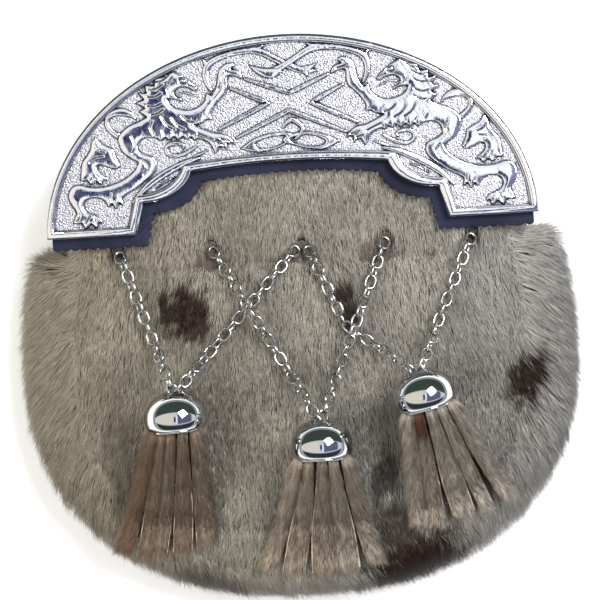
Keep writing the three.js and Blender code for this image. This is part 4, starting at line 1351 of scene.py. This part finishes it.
def front_hair(name, count, seed):
    local = np.random.default_rng(seed)
    x = local.uniform(-PANEL_HALF_WIDTH, PANEL_HALF_WIDTH, count * 2)
    y = local.uniform(POUCH_CENTRE_Y - PANEL_BELOW, 24, count * 2)
    angle = np.arctan2(y - POUCH_CENTRE_Y, x)
    share = np.hypot(x, y - POUCH_CENTRE_Y) / panel_radius(angle)
    open_by = below_trim(x, y)
    away = np.min([np.hypot(x - hx, np.maximum(np.abs(y - hy - 2.2) - 2.2, 0)) for hx, hy in HOLES], axis=0)
    keep = (share < 0.998) & (open_by > -4) & (away > 1.5)
    x, y, share, open_by, away = (v[keep][:count] for v in (x, y, share, open_by, away))
    count = len(x)
    step = 0.5
    slope_x = (panel_height(x + step, y) - panel_height(x - step, y)) / (2 * step)
    slope_y = (panel_height(x, y + step) - panel_height(x, y - step)) / (2 * step)
    normals = unit(np.stack([-slope_x, -slope_y, np.ones(count)], axis=1))
    roots = np.stack([x, y, panel_height(x, y) - PILE], axis=1)
    swirl = (
        0.2 * x / PANEL_HALF_WIDTH + 0.12 * ripples(x, y, 40, 11) + 0.07 * ripples(x, y, 10, 12)
        + 0.06 * ripples(x, y, 3.2, 13) + local.normal(0, 0.13, count)
    )
    flow = np.stack([np.sin(swirl), -np.cos(swirl), np.zeros(count)], axis=1)
    length = 5.0 * local.uniform(0.65, 1.2, count) * (1 - 0.25 * smoothstep(share, 0.9, 1.0))
    lift = PILE * (0.75 + 0.2 * ripples(x, y, 4.0, 14) + local.normal(0, 0.16, count))
    lift = np.clip(lift, 0.5, PILE + 0.9) * (0.45 + 0.55 * smoothstep(open_by, 0, 8))
    tone = (
        0.46 + 0.08 * ripples(x, y * 0.3, 3.0, 15) + 0.1 * ripples(x, y, 26, 16) + local.normal(0, 0.17,
            count)
    )
    brown = spot_and_shadow_mask(x, y)
    mesh = needles(roots, normals, flow, length, np.full(count, 0.19), lift, tone, brown)
    return add_piece(name, mesh, seal_hair)


FRONT_HAIRS = 45_000
front_hair("front_hair_a", FRONT_HAIRS, 101)
front_hair("front_hair_b", FRONT_HAIRS, 102)


# %% Hair of the gusset
def gusset_hair(name, count, seed):
    local = np.random.default_rng(seed)
    angle = local.uniform(math.pi / 2 + MOUTH_HALF_ANGLE * 0.85, 2.5 * math.pi - MOUTH_HALF_ANGLE * 0.85,
        count)
    bulge = local.uniform(-1.5, 1.57, count)
    roots = gusset_point(angle, bulge, PILE * 1.2)
    step = 0.01
    around = unit(gusset_point(angle + step, bulge) - gusset_point(angle - step, bulge))
    outward = unit(gusset_point(angle, bulge - step) - gusset_point(angle, bulge + step))
    normals = unit(np.cross(outward, around))
    x, y = roots[:, 0], roots[:, 1]
    downhill = np.where(around[:, 1] < 0, 1, -1)[:, None] * around
    steep = np.abs(around[:, 1])[:, None]
    sweep = np.array([0.55, 0, 0]) * (1 - steep)
    wander = 0.2 * ripples(angle * 90, bulge * 18, 16, 21) + 0.1 * ripples(angle * 90, bulge * 18, 4, 22)
    flow = outward * 0.75 + downhill * steep * 0.9 + sweep
    flow = flow + around * (wander + local.normal(0, 0.14, count))[:, None]
    length = 8.6 * local.uniform(0.65, 1.2, count)
    lift = PILE * (1.35 + 0.3 * ripples(angle * 90, bulge * 18, 6, 23) + local.normal(0, 0.3, count))
    hidden = smoothstep(y, -8, 2)
    lift = np.clip(lift, 0.5, 4.0) * (1 - 0.6 * hidden)
    length = length * (1 - 0.45 * hidden)
    tone = 0.44 + 0.1 * ripples(angle * 90, bulge * 9, 4, 24) + local.normal(0, 0.17, count)
    # Painted shade: the gusset's hair is darker towards the left.
    shade = 0.12 * smoothstep(-x, 20, 80)
    brown = spot_and_shadow_mask(x, y) * smoothstep(bulge, -0.6, 0.1)
    mesh = needles(roots, normals, flow, length, np.full(count, 0.3), lift, tone - shade, brown)
    return add_piece(name, mesh, seal_hair)


GUSSET_HAIRS = 36_000
gusset_hair("gusset_hair_a", GUSSET_HAIRS, 201)
gusset_hair("gusset_hair_b", GUSSET_HAIRS, 202)

# %% [markdown]
# ## Tassels
# A tassel is five strips cut from the same kind of hide, gathered in the bell. The cut edge of
# the hide is pale and the gaps between strips are dark, so each strip is a thin bent plate of
# hide with its own hair on top. The plates run from the bell down to the fur, near the CAD strips,
# and near-black rear strips lie behind the gaps as their painted shadow.

# %% Strips of hide
CAP_MOUTH_THICKNESS = 9.4
STRIP_START = CAP_HEIGHT - 5


def strip_point(tassel, entry, share, across, level):
    """Share runs from inside the cap to the tip, across from -1 to 1, level from 0 to 1."""
    hole, cap_lean, _ = TASSELS[tassel]
    at_mouth, at_tip, length, tip_width = entry
    along = tassel_axis(cap_lean)
    width = 3.2 + (tip_width - 3.2) * smoothstep(share, 0.08, 0.8)
    reach = STRIP_START + share * (length + 5)
    offset = at_mouth + (at_tip - at_mouth) * (0.75 * share + 0.25 * share**2) + across * width / 2
    x = hole[0] + along[0] * reach - along[1] * offset
    y = hole[1] + along[1] * reach + along[0] * offset
    on_fur = belly_height(x, y) + 0.7
    axis_z = axis_height(tassel)
    high = axis_z + CAP_MOUTH_THICKNESS / 2
    high = high + (on_fur + 2.4 - high) * smoothstep(share, 0.1, 0.9)
    arch = 1.1 * across**2 * smoothstep(share, 0, 0.2)
    return np.stack([x, y, high - arch - (1 - level)], axis=-1)


def hide_strip(bm, tassel, entry, level):
    """A grid bent into a strip, given thickness by copying it downwards."""
    made = bmesh.ops.create_grid(bm, x_segments=6, y_segments=26, size=1)
    verts = made["verts"]
    faces = list({f for v in verts for f in v.link_faces})
    for vert in verts:
        share, across = (1 - vert.co.y) / 2, vert.co.x
        vert.co = strip_point(tassel, entry, np.float64(share), across, level)
    grown = bmesh.ops.extrude_face_region(bm, geom=faces, use_keep_orig=True)
    lowered = [v for v in grown["geom"] if isinstance(v, bmesh.types.BMVert)]
    bmesh.ops.translate(bm, vec=(0, 0, -1.1), verts=lowered)


def strip_hides(tassel):
    strips = TASSELS[tassel][2]
    bm = bmesh.new()
    for entry in strips:
        hide_strip(bm, tassel, entry, 1)
    bmesh.ops.recalc_face_normals(bm, faces=bm.faces)
    add_piece(f"strip_hides_{tassel}", bm, cut_hide, [f"tassel_strips_{tassel}"], sharp=50)
    # Rear strips behind the gaps, near black as their painted shadow.
    bm = bmesh.new()
    for one, other in zip(strips, strips[1:]):
        between = [(a + b) / 2 for a, b in zip(one, other)]
        between[2] -= 5
        hide_strip(bm, tassel, between, -0.6)
    bmesh.ops.recalc_face_normals(bm, faces=bm.faces)
    return add_piece(f"rear_strips_{tassel}", bm, painted_shadow_hide, sharp=50)


# %% Hair of the strips
STRIP_HAIRS = 2_300
STRIP_BROWN = {  # how brown each strip is
    "left": [0.65, 0.35, 0.25, 0.4, 0.3],
    "middle": [0.1, 0.15, 0.25, 0.1, 0.15],
    "right": [0.15, 0.2, 0.05, 0.0, 0.1],
}


def strip_hair(tassel, seed):
    local = np.random.default_rng(seed)
    parts = []
    strips = TASSELS[tassel][2]
    for number, (entry, brown) in enumerate(zip(strips, STRIP_BROWN[tassel])):
        share = local.uniform(0.06, 0.985, STRIP_HAIRS)
        across = local.uniform(-0.88, 0.88, STRIP_HAIRS)
        roots = strip_point(tassel, entry, share, across, 1)
        ahead = unit(strip_point(tassel, entry, share + 0.01, across, 1) - roots)
        sideways = unit(strip_point(tassel, entry, share, across + 0.05, 1) - roots)
        normals = unit(np.cross(sideways, ahead))
        normals = np.where(normals[:, 2:] < 0, -normals, normals)
        outer = (number == len(strips) - 1) * np.maximum(across, 0) - (number == 0) * np.maximum(-across, 0)
        fan = 0.7 * outer + 0.04 * ripples(across * 4, share * 40, 8, seed) + local.normal(0, 0.04,
            STRIP_HAIRS)
        flow = ahead + sideways * fan[:, None]
        length = 6.0 * local.uniform(0.7, 1.15, STRIP_HAIRS) * (1 - 0.35 * smoothstep(share, 0.85, 1))
        lift = np.clip(0.75 + 0.5 * np.abs(outer) + local.normal(0, 0.25, STRIP_HAIRS), 0.2, 1.8)
        tone = 0.45 + 0.15 * ripples(across * 4, share * 20, 3, seed + 1) + local.normal(0, 0.18, STRIP_HAIRS)
        # Painted shade: hair darker towards the strip's edges, beside the gaps.
        tone = tone - 0.25 * np.abs(across) ** 4
        stain = 0.75 * smoothstep(share, 0.3, 0.2) * (tassel == "right") * (number == 1)
        parts.append((roots, normals, flow, length, lift, tone, brown + stain))
    roots, normals, flow, length, lift, tone, brown = (np.concatenate(p) for p in zip(*parts))
    mesh = needles(roots, normals, flow, length, np.full(len(roots), 0.21), lift, tone, brown)
    return add_piece(f"strip_hair_{tassel}", mesh, tassel_hair)


for number, name in enumerate(TASSELS):
    strip_hides(name)
    strip_hair(name, 301 + number)

# %% [markdown]
# ## Studio
# The pouch lies on a pale floor and is seen from straight above, a little turned. Polished metal
# is only as good as what it mirrors: the sky is pale, with bright windows and dark patches set
# where the metal looks. A softbox stands to the upper right, and a wide one, which the metal
# doesn't mirror, to the lower left.

# %% Floor
bm = bmesh.new()
bmesh.ops.create_grid(bm, x_segments=2, y_segments=2, size=3.0)
mesh = bpy.data.meshes.new("floor")
bm.to_mesh(mesh)
bm.free()
floor = bpy.data.objects.new("floor", mesh)
bpy.context.collection.objects.link(floor)
paper, n, shader, place = new_material("pale_paper")
fibre = n.noise(place, 40.0, 3.0)
feed(n, shader, Base_Color=n.mix(fibre, rgb(0.9, 0.9, 0.9), rgb(0.93, 0.93, 0.93)))
shader.inputs["Roughness"].default_value = 0.9
mesh.materials.append(paper)

# %% Sky
world = bpy.data.worlds.new("studio")
bpy.context.scene.world = world
world.use_nodes = True
n = Nodes(world.node_tree)
sky = n.add("TexCoord").outputs["Generated"]
parts = n.add("SeparateXYZ", Vector=sky).outputs
rise = n.math("MAXIMUM", parts[2], 0.05)
sideways = n.math("DIVIDE", parts[0], rise)
upwards = n.math("DIVIDE", parts[1], rise)


def band(value, start, full, fade, end):
    """One between full and fade, falling to nothing at start and end."""
    return n.math("MULTIPLY", n.fade(value, start, full), n.fade(value, fade, end, 1.0, 0.0))


def patch(across, along):
    return n.math("MULTIPLY", band(sideways, *across), band(upwards, *along))


blue_shade = patch((-0.12, -0.1, 0.003, 0.009), (-0.35, -0.2, 0.1, 0.13))
white_window = patch((0.006, 0.012, 0.11, 0.13), (-0.6, -0.5, 0.13, 0.17))
violet_shade = patch((0.12, 0.14, 1.6, 2.0), (-0.6, -0.5, 0.36, 0.46))
cream_window = patch((-6.0, -4.0, -0.18, -0.14), (-0.7, -0.6, 0.36, 0.46))
green_shade = patch((-8.0, -6.0, 6.0, 8.0), (0.4, 0.5, 6.0, 8.0))
foot_shade = patch((-5.0, -3.5, 3.5, 5.0), (-8.0, -6.0, -0.85, -0.6))
colour = n.mix(n.fade(parts[2], 0.02, 0.3), rgb(0.34, 0.34, 0.35), rgb(0.95, 0.97, 1.02))
colour = n.mix(green_shade, colour, rgb(0.07, 0.095, 0.08))
colour = n.mix(foot_shade, colour, rgb(0.05, 0.05, 0.065))
colour = n.mix(violet_shade, colour, rgb(0.17, 0.18, 0.33))
colour = n.mix(cream_window, colour, rgb(1.1, 1.02, 0.9))
colour = n.mix(white_window, colour, rgb(1.25, 1.28, 1.35))
colour = n.mix(blue_shade, colour, rgb(0.02, 0.026, 0.11))
background = world.node_tree.nodes["Background"]
world.node_tree.links.new(colour, background.inputs["Color"])
background.inputs["Strength"].default_value = 1.0


# %% Softboxes
def softbox(name, place, aim, size, watts, tint=(1, 1, 1)):
    light = bpy.data.lights.new(name, "AREA")
    light.shape = "RECTANGLE"
    light.size, light.size_y = size
    light.energy = watts
    light.color = tint
    lamp = bpy.data.objects.new(name, light)
    lamp.location = place
    lamp.rotation_euler = (Vector(aim) - Vector(place)).to_track_quat("-Z", "Y").to_euler()
    bpy.context.collection.objects.link(lamp)
    return lamp


softbox("key_softbox", (0.8, 0.55, 1.6), (0, 0, 0), (0.8, 0.8), 48)
fill = softbox("fill_softbox", (-1.5, -0.7, 1.4), (0, 0, 0), (1.2, 1.6), 46, (1.0, 0.98, 0.94))
fill.visible_glossy = False

# %% Camera
CAMERA_HEIGHT = 1.25
camera_data = bpy.data.cameras.new("camera")
camera = bpy.data.objects.new("camera", camera_data)
bpy.context.collection.objects.link(camera)
camera.location = (0.0009, CHORD_Y - 0.025, RIM_TOP * MM + CAMERA_HEIGHT)
camera.rotation_euler = (0, 0, -math.radians(3.34))
camera_data.sensor_width = 36
camera_data.lens = 36 * CAMERA_HEIGHT / 0.201
bpy.context.scene.camera = camera
bpy.context.scene.view_settings.view_transform = "Standard"

# %% Sizes and finish
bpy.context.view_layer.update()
total = 0
for mesh in bpy.data.meshes:
    mesh.calc_loop_triangles()
    total += len(mesh.loop_triangles) * mesh.users
